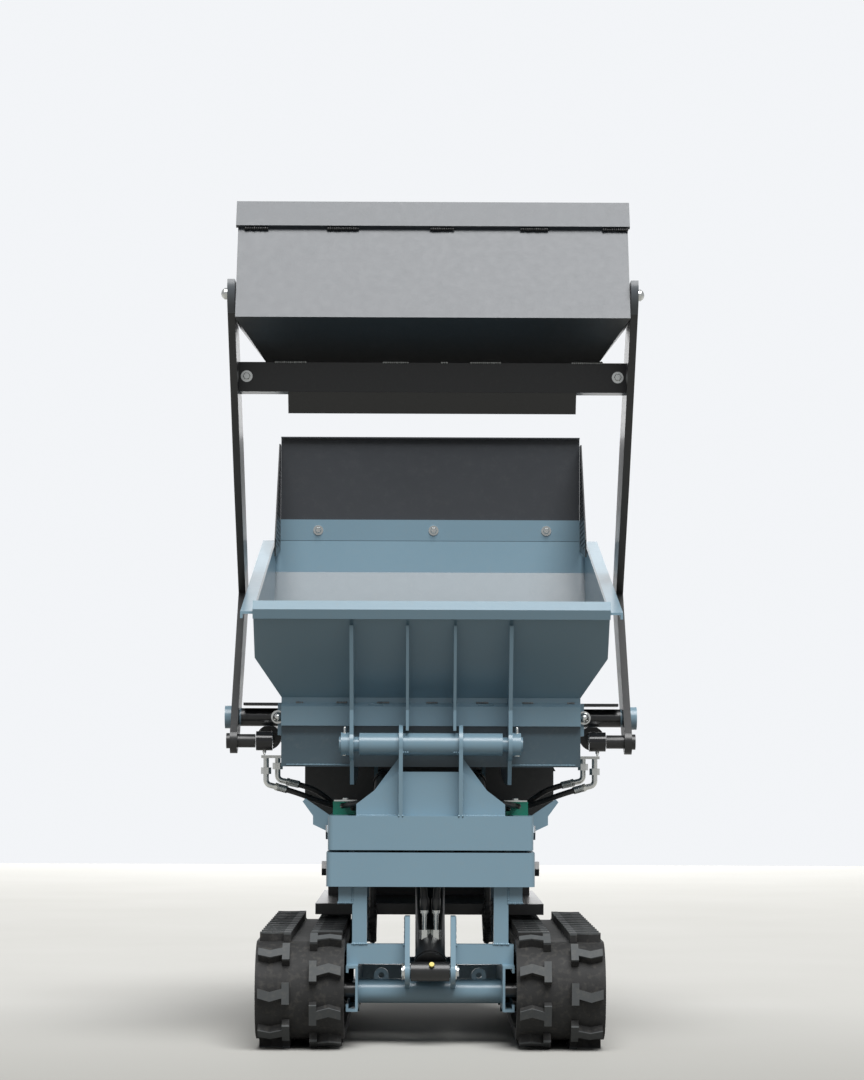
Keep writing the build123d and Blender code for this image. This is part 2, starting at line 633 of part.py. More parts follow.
def make_scissor_frame(z_low, pin_reach, width, pin_head):
    """One of the two frames that the scissor arms close between."""
    half = width / 2
    z_high = z_low + BEAM_HEIGHT
    rear = frame_end
    plan = Pos(0, BEAM_FRONT + BEAM_DEPTH / 2, z_low) * RectangleRounded(
        width, BEAM_DEPTH, BEAM_CORNER)
    front_beam = Solid.extrude(plan.faces()[0], Vector(0, 0, BEAM_HEIGHT))
    hollow = block(
        -half + CHANNEL_WIDTH, half - CHANNEL_WIDTH, BEAM_FRONT + CHANNEL_WALL,
        BEAM_FRONT + BEAM_DEPTH - CHANNEL_WALL, z_low + CHANNEL_WALL, z_high - CHANNEL_WALL)
    channel = lipped_channel(
        half, half - CHANNEL_WIDTH, z_low, z_high, BEAM_FRONT + BEAM_DEPTH, rear - REAR_BEAM_DEPTH,
        CHANNEL_WALL, CHANNEL_WALL)
    middle = z_low + BEAM_HEIGHT / 2
    pin = cross_rod((SCISSOR_PIN_Y, middle), SCISSOR_PIN_RADIUS, pin_reach, half)
    head = hex_head((SCISSOR_PIN_Y, middle), SCISSOR_PIN_RADIUS + 5, half, half + pin_head)
    return fused([
        cut(front_beam, hollow), channel, mirrored(channel), pin, mirrored(pin), head, mirrored(head),
        block(-half, half, rear - REAR_BEAM_DEPTH, rear, z_low, z_high),
    ])


def bar(start, end, x_low, x_high, bores):
    """A scissor arm with round ends and its pin holes."""
    radius = ARM_DEPTH / 2
    plate = link_plate([(*start, radius), (*end, radius)], x_low, x_high)
    return cut(plate, *[cross_rod(spot, r, x_low - 1, x_high + 1) for spot, r in bores])


def make_outer_arms():
    """The two outer arms, pinned to the base at the front, with rollers in the deck at the rear."""
    x_low, x_high = outer_arm_from_middle, outer_arm_from_middle + ARM_THICKNESS
    arm = bar(outer_pin, outer_roller, x_low, x_high, [(outer_pin, SCISSOR_PIN_RADIUS + ROD_PLAY)])
    roller_radius = BEAM_HEIGHT / 2 - CHANNEL_WALL - ROLLER_PLAY
    roller_inner = frame_half - CHANNEL_WIDTH + 3
    pieces = [
        arm,
        cross_rod(outer_roller, SCISSOR_PIN_RADIUS, x_high, roller_inner),
        cross_rod(outer_roller, roller_radius, roller_inner, frame_half - CHANNEL_WALL - ROLLER_END_PLAY),
        cross_rod(centre_pin, SCISSOR_PIN_RADIUS, inner_arm_from_middle - 2, x_low),
        cross_rod(centre_pin, SCISSOR_PIN_RADIUS + 6, inner_arm_from_middle - 8, inner_arm_from_middle - 2),
    ]
    tubes = [
        cross_rod(outer_roller, CROSS_TUBE_RADIUS, -x_low, x_low),
        cross_rod(between(outer_pin, outer_roller, 0.82), CROSS_TUBE_RADIUS, -x_low, x_low),
    ]
    return fused([*pieces, *[mirrored(piece) for piece in pieces], *tubes])


def make_inner_arms():
    """The two inner arms, pinned to the deck at the front, with rollers in the base at the rear."""
    x_low, x_high = inner_arm_from_middle, inner_arm_from_middle + ARM_THICKNESS
    bores = [(inner_pin, SCISSOR_PIN_RADIUS + ROD_PLAY), (centre_pin, SCISSOR_PIN_RADIUS + ROD_PLAY)]
    arm = bar(inner_pin, inner_roller, x_low, x_high, bores)
    roller_radius = BEAM_HEIGHT / 2 - CHANNEL_WALL - ROLLER_PLAY
    roller_inner = frame_half - CHANNEL_WIDTH + 3
    lug_inner = LIFT_EYE_RADIUS + SIDE_PLAY
    pieces = [
        arm,
        cross_rod(inner_roller, SCISSOR_PIN_RADIUS, x_high, roller_inner),
        cross_rod(inner_roller, roller_radius, roller_inner, frame_half - CHANNEL_WALL - ROLLER_END_PLAY),
        cross_rod(lift_pin, CROSS_TUBE_RADIUS + 4, lug_inner, x_low),
        cross_rod(lift_pin, 26, lug_inner, lug_inner + 12),
    ]
    tube = cross_rod(inner_roller, CROSS_TUBE_RADIUS, -x_low, x_low)
    return fused([*pieces, *[mirrored(piece) for piece in pieces], tube])


# ---- hydraulic cylinders -------------------------------------------------------------------------------
def make_cylinder(x, base, rod_pin, barrel_radius, rod_radius, eye_radius, eye_width, head_gap, tail_gap,
                  base_width=None):
    """A barrel on its base eye and a rod on its own eye, closed to the length between the two pins.

    head_gap is left between the barrel's head and the rod's pin, tail_gap between the rod and the base pin.
    """
    base_width = base_width or eye_width
    length = hypot(rod_pin[0] - base[0], rod_pin[1] - base[1])
    barrel_length, rod_tail = length - head_gap, length - tail_gap
    along = Vector(0, (rod_pin[0] - base[0]) / length, (rod_pin[1] - base[1]) / length)
    foot = Vector(x, *base)
    tip = Vector(x, *rod_pin)
    barrel_start = eye_radius * 1.1
    barrel = fused([
        cross_rod(base, eye_radius, x - base_width / 2, x + base_width / 2),
        rod_along(foot + along * barrel_start, along, barrel_radius, barrel_length - barrel_start),
        rod_along(foot + along * (barrel_length - BARREL_HEAD), along, barrel_radius + 3, BARREL_HEAD),
        rod_along(foot + along * (barrel_start + 6), along, barrel_radius + 2, 14),
    ])
    bore_start = eye_radius + 12
    barrel = cut(
        barrel,
        rod_along(foot + along * bore_start, along, rod_radius + ROD_PLAY, length),
        cross_rod(base, EYE_PIN_RADIUS + ROD_PLAY, x - base_width, x + base_width),
    )
    rod = fused([
        cross_rod(rod_pin, eye_radius, x - eye_width / 2, x + eye_width / 2),
        rod_along(tip - along * rod_tail, along, rod_radius, rod_tail - eye_radius * 0.5),
    ])
    return barrel, rod


# ---- skip hinge and deck -------------------------------------------------------------------------------
def make_hinge_bracket():
    """What carries the skip's hinge on the deck: cross plate, ears, gussets and the hinge tube."""
    x_low, x_high = HINGE_EAR_FROM_MIDDLE, hinge_ear_outer
    wing = x_high + HINGE_PLATE_WING
    ear = cut(
        fused([
            cross_rod(HINGE, HINGE_EAR_RADIUS, x_low, x_high),
            side_plate(
                [(HINGE[0] - HINGE_EAR_RADIUS, HINGE[1]), (BEAM_FRONT, deck_high),
                 (BEAM_FRONT + BEAM_DEPTH, deck_high), (HINGE[0] + HINGE_EAR_RADIUS, HINGE[1])],
                x_low, x_high),
        ]),
        cross_rod(HINGE, HINGE_TUBE_RADIUS - 1, x_low - 1, x_high + 1))
    gusset = front_plate(
        [(x_high, deck_high), (RIB_FROM_MIDDLE - 4, deck_high), (x_high, HINGE[1] - GUSSET_DROP)],
        hinge_plate_back, hinge_plate_back + RIB_THICKNESS)
    half = HINGE_TUBE_LENGTH / 2
    tube = cut(
        cross_rod(HINGE, HINGE_TUBE_RADIUS, -half, half),
        cross_rod(HINGE, HINGE_PIN_RADIUS + ROD_PLAY, -half - 1, half + 1))
    plate = front_plate(
        [(-wing, deck_high), (wing, deck_high), (wing, deck_high + HINGE_PLATE_EDGE),
         (x_high, HINGE[1] - HINGE_PLATE_DROP), (-x_high, HINGE[1] - HINGE_PLATE_DROP),
         (-wing, deck_high + HINGE_PLATE_EDGE)],
        hinge_plate_back - RIB_THICKNESS, hinge_plate_back)
    return fused([ear, mirrored(ear), gusset, mirrored(gusset), tube, plate])


def make_deck_lugs():
    """On each side of the deck: the tip cylinder's lugs with their pin, and a slanted hose bracket."""
    front = BEAM_FRONT + BEAM_DEPTH
    side = deck_half
    lugs = [
        cut(
            link_plate([(*TIP_BASE, TIP_LUG_RADIUS), (front + 4, TIP_BASE[1], TIP_LUG_ROOT)],
                       x, x + TIP_LUG_PLATE),
            block(-FAR, FAR, 0, front, 0, FAR))
        for x in tip_lug_sides()
    ]
    pin_reach = TIP_EYE_WIDTH / 2 + SIDE_PLAY + TIP_LUG_PLATE + 4
    pin = cross_rod(TIP_BASE, EYE_PIN_RADIUS, tip_from_middle - pin_reach, tip_from_middle + pin_reach)
    bracket = front_plate(
        [(side, deck_high), (side + SIDE_BRACKET, deck_high + 34), (side + SIDE_BRACKET + 6, deck_high + 28),
         (side + 34, deck_high - 2), (side + 34, deck_high - 20), (side, deck_high - 36)],
        SIDE_BRACKET_Y, SIDE_BRACKET_Y + RIB_THICKNESS)
    return Compound(both_sides([fused([*lugs, pin]), bracket]))


def tip_lug_sides():
    """Inner faces of the two lugs either side of a tip cylinder's eye."""
    half = TIP_EYE_WIDTH / 2 + SIDE_PLAY
    return (tip_from_middle - half - TIP_LUG_PLATE, tip_from_middle + half)


# ---- skip ----------------------------------------------------------------------------------------------
skip_side = [
    (SKIP_FRONT, SKIP_FLOOR), (SKIP_FLOOR_END, SKIP_FLOOR), SKIP_BACK_BEND, SKIP_BACK_TOP,
    SKIP_LIP, (SKIP_FRONT, SKIP_SIDE_BEND),
]
rim_slope = (SKIP_BACK_TOP[1] - SKIP_LIP[1]) / (SKIP_BACK_TOP[0] - SKIP_LIP[0])


def make_skip_tub():
    """The skip: a floor, upright lower sides that flare out, a raked front and a raked back."""
    half_low, top = skip_bottom_width / 2, SKIP_BACK_TOP[1] + 100
    front = [
        (-half_low, SKIP_FLOOR), (half_low, SKIP_FLOOR), (half_low, SKIP_SIDE_BEND),
        (skip_half, SKIP_SIDE_TOP_BEND), (skip_half, top + 200), (-skip_half, top + 200),
        (-skip_half, SKIP_SIDE_TOP_BEND), (-half_low, SKIP_SIDE_BEND),
    ]
    lift = 150
    rake_front = (SKIP_FRONT - SKIP_LIP[0]) / (SKIP_LIP[1] - SKIP_SIDE_BEND)
    rake_back = (SKIP_BACK_TOP[0] - SKIP_BACK_BEND[0]) / (SKIP_BACK_TOP[1] - SKIP_BACK_BEND[1])
    mouth = [
        *skip_side[:3],
        (SKIP_BACK_TOP[0] + lift * rake_back, SKIP_BACK_TOP[1] + lift),
        (SKIP_LIP[0] - lift * rake_front, SKIP_LIP[1] + lift),
        skip_side[5],
    ]
    return folded_tub(skip_side, front, SKIP_WALL, FAR, -FAR, FAR, mouth)


def make_skip_rim():
    """The folded rim: side flanges with a hem, the lip bar, the front stiffener and the back strip."""
    def rim_z(y):
        return SKIP_LIP[1] + (y - SKIP_LIP[0]) * rim_slope

    front_y, back_y = SKIP_LIP[0] - 4, SKIP_BACK_TOP[0]
    flange = fused([
        side_plate([(front_y, rim_z(front_y)), (back_y, rim_z(back_y)), (back_y, rim_z(back_y) - RIM_WALL),
                    (front_y, rim_z(front_y) - RIM_WALL)], skip_half, skip_half + RIM_WIDTH),
        side_plate([(front_y, rim_z(front_y)), (back_y, rim_z(back_y)), (back_y, rim_z(back_y) - RIM_HEM),
                    (front_y, rim_z(front_y) - RIM_HEM)],
                   skip_half + RIM_WIDTH - RIM_WALL, skip_half + RIM_WIDTH),
    ])
    rake = (SKIP_FRONT - SKIP_LIP[0]) / (SKIP_LIP[1] - SKIP_SIDE_BEND)

    def front_face(z):
        return SKIP_LIP[0] + (SKIP_LIP[1] - z) * rake

    lip = side_plate(
        [SKIP_LIP, (SKIP_LIP[0] - 17, SKIP_LIP[1] - 4), (SKIP_LIP[0] - 17, SKIP_LIP[1] - 22),
         (front_face(SKIP_LIP[1] - 22), SKIP_LIP[1] - 22)], -skip_half, skip_half)
    half_low = skip_bottom_width / 2
    stiffener = side_plate(
        [(SKIP_FRONT, STIFFENER_LOW), (SKIP_FRONT, STIFFENER_HIGH),
         (SKIP_FRONT - STIFFENER_DEPTH, STIFFENER_HIGH - 8), (SKIP_FRONT - STIFFENER_DEPTH, STIFFENER_LOW)],
        -half_low, half_low)
    strip = block(-guard_width / 2, guard_width / 2, SKIP_BACK_TOP[0] - SKIP_WALL, SKIP_BACK_TOP[0],
                  SKIP_BACK_TOP[1], GUARD_LOW)
    return pair(flange), lip, stiffener, strip


def make_guard():
    """Rear spill guard: a tall plate with a rolled top hem and two perforated side wings."""
    half = guard_width / 2
    y = SKIP_BACK_TOP[0]
    hem = 12
    plate = side_plate(
        [(y, GUARD_LOW - 30), (y + GUARD_WALL, GUARD_LOW - 30), (y + GUARD_WALL, GUARD_HIGH),
         (y - hem, GUARD_HIGH), (y - hem, GUARD_HIGH - GUARD_WALL), (y, GUARD_HIGH - GUARD_WALL)],
        -half, half)
    low = 1075.0
    wing = side_plate(
        [(y - SKIP_WALL, low), (y - SKIP_WALL, GUARD_HIGH - 20), (y - hem - 30, GUARD_HIGH - 20),
         (y - GUARD_WING, low + 10), (y - GUARD_WING, low - 30)],
        half, half + GUARD_WALL)
    return plate, wing


def make_skip_ribs():
    """Hinge plates: two outer ribs that also bear on the deck, and two inner ribs beside the ears."""
    x_low, x_high = RIB_FROM_MIDDLE, RIB_FROM_MIDDLE + RIB_THICKNESS
    rake = (SKIP_FRONT - SKIP_LIP[0]) / (SKIP_LIP[1] - SKIP_SIDE_BEND)
    behind_lip = SKIP_LIP[0] + (SKIP_LIP[1] - RIB_TOP) * rake
    up_the_front = [
        (HINGE[0] - RIB_FRONT, HINGE[1] + 4), (HINGE[0] - RIB_FRONT, RIB_SHOULDER),
        (behind_lip - RIB_TOP_DEPTH, RIB_TOP), (behind_lip, RIB_TOP), (SKIP_FRONT, SKIP_SIDE_BEND),
    ]
    outer = fused([
        cross_rod(HINGE, RIB_EYE_RADIUS, x_low, x_high),
        side_plate(
            [(HINGE[0], HINGE[1] - RIB_EYE_RADIUS / 2), *up_the_front, (SKIP_FRONT, SKIP_FLOOR),
             (SKIP_FLOOR_END - RIB_END, SKIP_FLOOR),
             (SKIP_FLOOR_END - 1.5 * RIB_END, (SKIP_FLOOR + RIB_LOW) / 2), (RIB_DEEP[1], RIB_LOW),
             (RIB_DEEP[0], RIB_LOW), (HINGE[0] + RIB_EYE_RADIUS / 3, HINGE[1] - RIB_EYE_RADIUS * 0.8)],
            x_low, x_high),
    ])
    inner = side_plate(
        [(HINGE[0] - RIB_FRONT, INNER_RIB_LOW), *up_the_front[1:], (SKIP_FRONT, INNER_RIB_LOW)],
        INNER_RIB_FROM_MIDDLE, INNER_RIB_FROM_MIDDLE + INNER_RIB_THICKNESS)
    rod_lugs = [
        side_plate([(TIP_ROD_PIN[0] - ROD_LUG_TOP, SKIP_FLOOR), (TIP_ROD_PIN[0] + ROD_LUG_TOP, SKIP_FLOOR),
                    (TIP_ROD_PIN[0] + ROD_LUG_BOTTOM, TIP_ROD_PIN[1] - ROD_LUG_BOTTOM),
                    (TIP_ROD_PIN[0] - ROD_LUG_BOTTOM, TIP_ROD_PIN[1] - ROD_LUG_BOTTOM)], x, x + TIP_LUG_PLATE)
        for x in tip_lug_sides()
    ]
    lugs = fused([*rod_lugs])
    outer = cut(outer, cross_rod(HINGE, HINGE_PIN_RADIUS, x_low - 1, x_high + 1))
    return pair(outer), pair(inner), pair(lugs)


def make_hinge_pin():
    """The skip's hinge pin with a collar outside each outer rib."""
    rib_outer = RIB_FROM_MIDDLE + RIB_THICKNESS
    reach = rib_outer + COLLAR_WIDTH
    return fused([
        cross_rod(HINGE, HINGE_PIN_RADIUS, -reach - 4, reach + 4),
        cross_rod(HINGE, COLLAR_RADIUS, rib_outer, reach),
        cross_rod(HINGE, COLLAR_RADIUS, -reach, -rib_outer),
    ])


def make_loader_shafts():
    """The stub shafts that carry the loader arms and the anchors of their cylinders."""
    half_low = skip_side_low
    arm = loader_arm_from_middle
    anchor_inner = loader_cylinder_from_middle - LOADER_EYE_WIDTH / 2 - SIDE_PLAY
    anchor_outer = loader_cylinder_from_middle + LOADER_EYE_WIDTH / 2 + SIDE_PLAY
    end = arm + LOADER_ARM_THICKNESS + SIDE_PLAY / 2
    return fused([
        cross_rod(LOADER_PIVOT, PIVOT_TUBE_RADIUS, half_low, arm - SIDE_PLAY / 2),
        cross_rod(LOADER_PIVOT, HINGE_PIN_RADIUS, arm - SIDE_PLAY, end),
        cross_rod(LOADER_PIVOT, COLLAR_RADIUS, end, end + PIVOT_COLLAR_WIDTH),
        block(half_low, half_low + 8, LOADER_PIVOT[0] - PIVOT_PLATE_HALF, LOADER_PIVOT[0] + PIVOT_PLATE_HALF,
              LOADER_PIVOT[1] - PIVOT_PLATE_HALF, PIVOT_SHELF + PLATE),
        block(half_low, half_low + PLATE, LOADER_ANCHOR[0] - ANCHOR_PLATE_HALF, SKIP_FLOOR_END - 5,
              LOADER_ANCHOR[1] - ANCHOR_PLATE_HALF, LOADER_ANCHOR[1] + ANCHOR_PLATE_HALF),
        block(half_low, arm - PIVOT_SHELF_INSET, LOADER_PIVOT[0] - PIVOT_PLATE_HALF,
              LOADER_PIVOT[0] + PIVOT_PLATE_HALF, PIVOT_SHELF, PIVOT_SHELF + PLATE),
        cross_rod(LOADER_ANCHOR, EYE_PIN_RADIUS + 3, half_low, anchor_inner),
        cross_rod(LOADER_ANCHOR, EYE_PIN_RADIUS, half_low, anchor_outer + 10),
        cross_rod(LOADER_ANCHOR, EYE_PIN_RADIUS + 6, anchor_outer, anchor_outer + 8),
    ])


# ---- loader --------------------------------------------------------------------------------------------
def make_loader_arm():
    """One cranked loader arm with its lower lobe, where the cylinder pushes."""
    x_low, x_high = loader_arm_from_middle, loader_arm_from_middle + LOADER_ARM_THICKNESS
    upper = between(LOADER_BEND, SHOVEL_PIN, 0.45)
    plate = link_plate(
        [(*LOADER_ROD_PIN, ARM_LOBE_RADIUS), (*LOADER_PIVOT, ARM_PIVOT_RADIUS),
         (*LOADER_BEND, ARM_BEND_RADIUS), (*upper, ARM_UPPER_RADIUS), (*SHOVEL_PIN, ARM_TOP_RADIUS)],
        x_low, x_high)
    plate = cut(plate, block(x_low - 1, x_high + 1, -FAR, FAR, SHOVEL_PIN[1] + ARM_TIP, FAR))
    eye_side = loader_cylinder_from_middle + LOADER_EYE_WIDTH / 2 + SIDE_PLAY
    pin = cross_rod(LOADER_ROD_PIN, EYE_PIN_RADIUS + 4, eye_side, x_low)
    head = cross_rod(LOADER_ROD_PIN, EYE_PIN_RADIUS + 6, x_high, x_high + 8)
    bore = cross_rod(LOADER_PIVOT, HINGE_PIN_RADIUS + ROD_PLAY, x_low - 30, x_high + 30)
    return cut(fused([plate, pin, head]), bore)


def make_crossbar():
    """The channel between the arms, open to the rear, that stiffens them below the shovel."""
    y, z = CROSSBAR
    h, d = CROSSBAR_HEIGHT / 2, CROSSBAR_DEPTH
    outline = [
        (y, z - h), (y, z + h), (y + d, z + h), (y + d, z + h - PLATE), (y + PLATE, z + h - PLATE),
        (y + PLATE, z - h + PLATE), (y + d, z - h + PLATE), (y + d, z - h),
    ]
    return side_plate(outline, -loader_arm_from_middle, loader_arm_from_middle)


def make_shovel():
    """The shovel: a floor, a back that narrows to the spout and two side plates, open to the rear."""
    half, back_half = SHOVEL_WIDTH / 2, (SHOVEL_WIDTH - SHOVEL_TAPER) / 2
    side = [shovel_tip, SHOVEL_HEEL, SHOVEL_BACK_END]
    front = [(-half, shovel_tip[1] + 20), (-half, SHOVEL_HEEL[1]), (-back_half, SHOVEL_BACK_END[1]),
             (back_half, SHOVEL_BACK_END[1]), (half, SHOVEL_HEEL[1]), (half, shovel_tip[1] + 20)]
    floor_dir = (sin(radians(SHOVEL_TILT)), cos(radians(SHOVEL_TILT)))
    back_length = hypot(SHOVEL_BACK_END[0] - SHOVEL_HEEL[0], SHOVEL_BACK_END[1] - SHOVEL_HEEL[1])
    back_dir = (
        (SHOVEL_BACK_END[0] - SHOVEL_HEEL[0]) / back_length,
        (SHOVEL_BACK_END[1] - SHOVEL_HEEL[1]) / back_length)
    mouth = [
        (shovel_tip[0] + FAR * floor_dir[0], shovel_tip[1] + FAR * floor_dir[1]), SHOVEL_HEEL,
        (SHOVEL_BACK_END[0] + FAR * back_dir[0], SHOVEL_BACK_END[1] + FAR * back_dir[1]),
    ]
    slope = (half - back_half) / (SHOVEL_HEEL[1] - SHOVEL_BACK_END[1])
    inner_front = [
        (-half, shovel_tip[1] + SHOVEL_WIDTH), (-half, SHOVEL_HEEL[1]),
        (-back_half + SHOVEL_TAPER * slope, SHOVEL_BACK_END[1] - SHOVEL_TAPER),
        (back_half - SHOVEL_TAPER * slope, SHOVEL_BACK_END[1] - SHOVEL_TAPER),
        (half, SHOVEL_HEEL[1]), (half, shovel_tip[1] + SHOVEL_WIDTH)]
    outer = side_plate(side, -half, half).intersect(front_plate(front, -FAR, FAR))
    hollow = side_plate(offset_outline(mouth, -SHOVEL_WALL), -half, half).intersect(
        front_plate(offset_outline(inner_front, -SHOVEL_WALL), -FAR, FAR))
    return cut(solid_of(outer), solid_of(hollow))


def make_blade():
    """The cutting edge, a thick strip on the outside of the shovel's floor."""
    lean = radians(SHOVEL_TILT)
    out = (-cos(lean), sin(lean))
    below = BLADE_HEIGHT - BLADE_PROUD
    low = (shovel_tip[0] - below * sin(lean), shovel_tip[1] - below * cos(lean))
    high = (shovel_tip[0] + BLADE_PROUD * sin(lean), shovel_tip[1] + BLADE_PROUD * cos(lean))
    outline = [low, high, (high[0] + out[0] * BLADE_WALL * 0.5, high[1] + out[1] * BLADE_WALL * 0.5),
               (low[0] + out[0] * BLADE_WALL, low[1] + out[1] * BLADE_WALL)]
    return side_plate(outline, -SHOVEL_WIDTH / 2 - BLADE_OVERHANG, SHOVEL_WIDTH / 2 + BLADE_OVERHANG)


def make_spout():
    """The plate below the crossbar that guides the load into the skip."""
    y, z = CROSSBAR
    low = z - CROSSBAR_HEIGHT / 2
    outline = [(y + 4, low), (y + 4 + PLATE, low), (y + 26 + PLATE, SPOUT_LOW), (y + 26, SPOUT_LOW)]
    return side_plate(outline, SPOUT_INSET - SHOVEL_WIDTH / 2, SHOVEL_WIDTH / 2 - SPOUT_INSET)


# ---- engine end ----------------------------------------------------------------------------------------
def make_engine_deck():
    """The folded plate over the tracks that carries the engine."""
    half = DECK_WIDTH / 2
    outer = block(-half, half, DECK_FRONT, deck_end, DECK_TOP - DECK_SKIRT, DECK_TOP)
    inner = block(-half + PLATE, half - PLATE, DECK_FRONT + PLATE, deck_end - PLATE,
                  DECK_TOP - DECK_SKIRT - 1, DECK_TOP - PLATE)
    return cut(outer, inner)


def cowl_outline(inset):
    """Front outline of the cowl, moved in by inset."""
    half, foot = COWL_WIDTH / 2 - inset, COWL_FOOT_WIDTH / 2 - inset
    top = COWL_TOP - inset
    low = DECK_TOP - (1 if inset else 0)
    right = [(foot, low), (foot, COWL_WAIST_LOW), (half, COWL_WAIST_HIGH), (half, top - COWL_CORNER),
             (half - COWL_CORNER * 0.3, top - COWL_CORNER * 0.3), (half - COWL_CORNER, top)]
    return right + [(-x, z) for x, z in reversed(right)]


def make_cowl():
    """The engine cowl, hollow, with a doorway on the right and slots in its rear wall."""
    shell = cut(
        front_plate(cowl_outline(0), cowl_front, cowl_end),
        front_plate(cowl_outline(COWL_WALL), cowl_front + COWL_WALL, cowl_end - COWL_WALL),
        block(0, COWL_WIDTH, door_front - DOOR_GAP, door_end + DOOR_GAP,
              DOOR_LOW - DOOR_GAP, DOOR_HIGH + DOOR_GAP),
    )
    return shell


def make_door():
    """The louvred engine door, hinged on its rear upright edge."""
    half = COWL_WIDTH / 2
    panel = block(half - COWL_WALL, half, door_front, door_end, DOOR_LOW, DOOR_HIGH)
    hinge = rod_along((half + 4, door_end, DOOR_LOW), (0, 0, 1), 6, DOOR_HIGH - DOOR_LOW)
    louvres = []
    for row in range(9):
        z = DOOR_LOW + 60 + row * 28
        outline = [(half, z), (half + 8, z), (half, z + 16)]
        louvres.append(front_plate(outline, door_front + 30, door_end - 40))
    return fused([panel, hinge, *louvres])


def make_console():
    """The operator's console behind the cowl, with a sloping lever panel."""
    half = CONSOLE_WIDTH / 2
    outline = [
        (cowl_end, CONSOLE_LOW), (cowl_end + CONSOLE_DEPTH, CONSOLE_LOW + 40),
        (cowl_end + CONSOLE_DEPTH, CONSOLE_TOP - 60), (cowl_end + CONSOLE_DEPTH * 0.6, CONSOLE_TOP),
        (cowl_end - 40, CONSOLE_TOP), (cowl_end - 40, COWL_TOP), (cowl_end, COWL_TOP)]
    hollow = side_plate(offset_outline(outline, -COWL_WALL), -half + COWL_WALL, half - COWL_WALL)
    return cut(side_plate(outline, -half, half), hollow)


def make_levers():
    """A row of control levers standing in the console's top."""
    levers = []
    y = cowl_end + 4
    for number in range(LEVERS):
        x = (number - (LEVERS - 1) / 2) * 52
        stem = rod_along((x, y, CONSOLE_TOP), (0, 0, 1), 5, 70)
        knob = Solid.make_sphere(14, Plane(origin=(x, y, CONSOLE_TOP + 78)), -90, 90)
        levers.append(fused([stem, knob]))
    return Compound(levers)


def make_handlebar():
    """The operator's fixed handrail, a bent tube from one side of the console to the other."""
    half = CONSOLE_WIDTH / 2
    start_y = cowl_end + CONSOLE_DEPTH * 0.45
    path = FilletPolyline(
        (half, start_y, HANDLE_HEIGHT), (half + 40, start_y, HANDLE_HEIGHT),
        (half + 40, handle_reach - HANDLE_RADIUS, HANDLE_HEIGHT),
        (-half - 40, handle_reach - HANDLE_RADIUS, HANDLE_HEIGHT),
        (-half - 40, start_y, HANDLE_HEIGHT), (-half, start_y, HANDLE_HEIGHT), radius=[24, 30, 30, 24])
    profile = Plane(origin=(half, start_y, HANDLE_HEIGHT), z_dir=(1, 0, 0)) * Circle(HANDLE_RADIUS)
    return sweep(profile, path=path).solids()[0]


def make_platform():
    """The fold-down operator's platform, parked upright: a tread plate with side cheeks on a hinge tube."""
    y, z = platform_hinge
    half = PLATFORM_WIDTH / 2
    top = z + PLATFORM_LENGTH
    hinge_bore = cross_rod(platform_hinge, PLATFORM_PIN_RADIUS + ROD_PLAY, -half, half)
    return cut(fused([
        cross_rod(platform_hinge, 12, -half + 40, half - 40),
        block(-half + 40, half - 40, y - 3, y + 3, z, z + 40),
        block(-half, half, y - 3, y + 3, z + 36, top),
        block(-half, -half + 5, y, y + 22, z + 36, top),
        block(half - 5, half, y, y + 22, z + 36, top),
    ]), hinge_bore)


def make_platform_brackets():
    """The lugs under the engine deck's rear edge that hold the platform's hinge."""
    y, z = platform_hinge
    half = PLATFORM_WIDTH / 2 - 40
    lug_piece = fused([
        link_plate([(deck_end + 2, z, 10), (y, z, 14)], half + 2, half + 10),
        cross_rod(platform_hinge, PLATFORM_PIN_RADIUS, half - 30, half + 2)])
    lug_piece = cut(lug_piece, block(0, FAR, 0, deck_end, 0, FAR))
    return lug_piece


# ---- hoses ---------------------------------------------------------------------------------------------
def hose(points, radius):
    """A hose along straight runs with a tangent arc at each corner; prints its radii and length."""
    runs = [(Vector(b) - Vector(a)) for a, b in zip(points, points[1:])]
    radii = []
    for first, second in zip(runs, runs[1:]):
        turn = radians(first.get_angle(second))
        radii.append(0.45 * min(first.length, second.length) / tan(turn / 2))
    path = FilletPolyline(*points, radius=radii)
    profile = Plane(origin=points[0], z_dir=runs[0]) * Circle(radius)
    solid = sweep(profile, path=path).solids()[0]
    expected = path.length * pi * radius**2
    print(f"hose length {path.length:.0f} mm, radii {[round(r) for r in radii]}, "
          f"volume {solid.volume / expected:.4f} of section times length")
    return solid


def pipe(points, radius, bend):
    """A bent steel pipe with one bend radius."""
    path = FilletPolyline(*points, radius=bend) if len(points) > 2 else Polyline(*points)
    profile = Plane(origin=points[0], z_dir=Vector(points[1]) - Vector(points[0])) * Circle(radius)
    return sweep(profile, path=path).solids()[0]


def hex_nut(centre, across, height):
    """An upright hexagon nut above a 3D centre."""
    outline = Plane(origin=centre) * RegularPolygon(across / 2, 6, major_radius=False)
    return Solid.extrude(outline.faces()[0], Vector(0, 0, height))


def make_hose_clamp():
    """The plastic block that holds one side's hoses on the deck."""
    return block(clamp_from_middle, clamp_from_middle + CLAMP_WIDTH, CLAMP_Y, CLAMP_Y + CLAMP_DEPTH,
                 deck_high, deck_high + CLAMP_HEIGHT)


def make_hose_ports():
    """The valve block behind the hinge bracket and a port block near the middle of each deck channel."""
    middle = block(-PORT_HALF, PORT_HALF, hinge_plate_back, PORT_BACK, deck_high + 4, PORT_HIGH)
    side = block(clamp_from_middle - 1, SIDE_PORT_X, SIDE_PORT_Y, SIDE_PORT_Y + CLAMP_DEPTH,
                 deck_high, deck_high + CLAMP_HEIGHT)
    return Compound([middle, *pair(side).solids()])


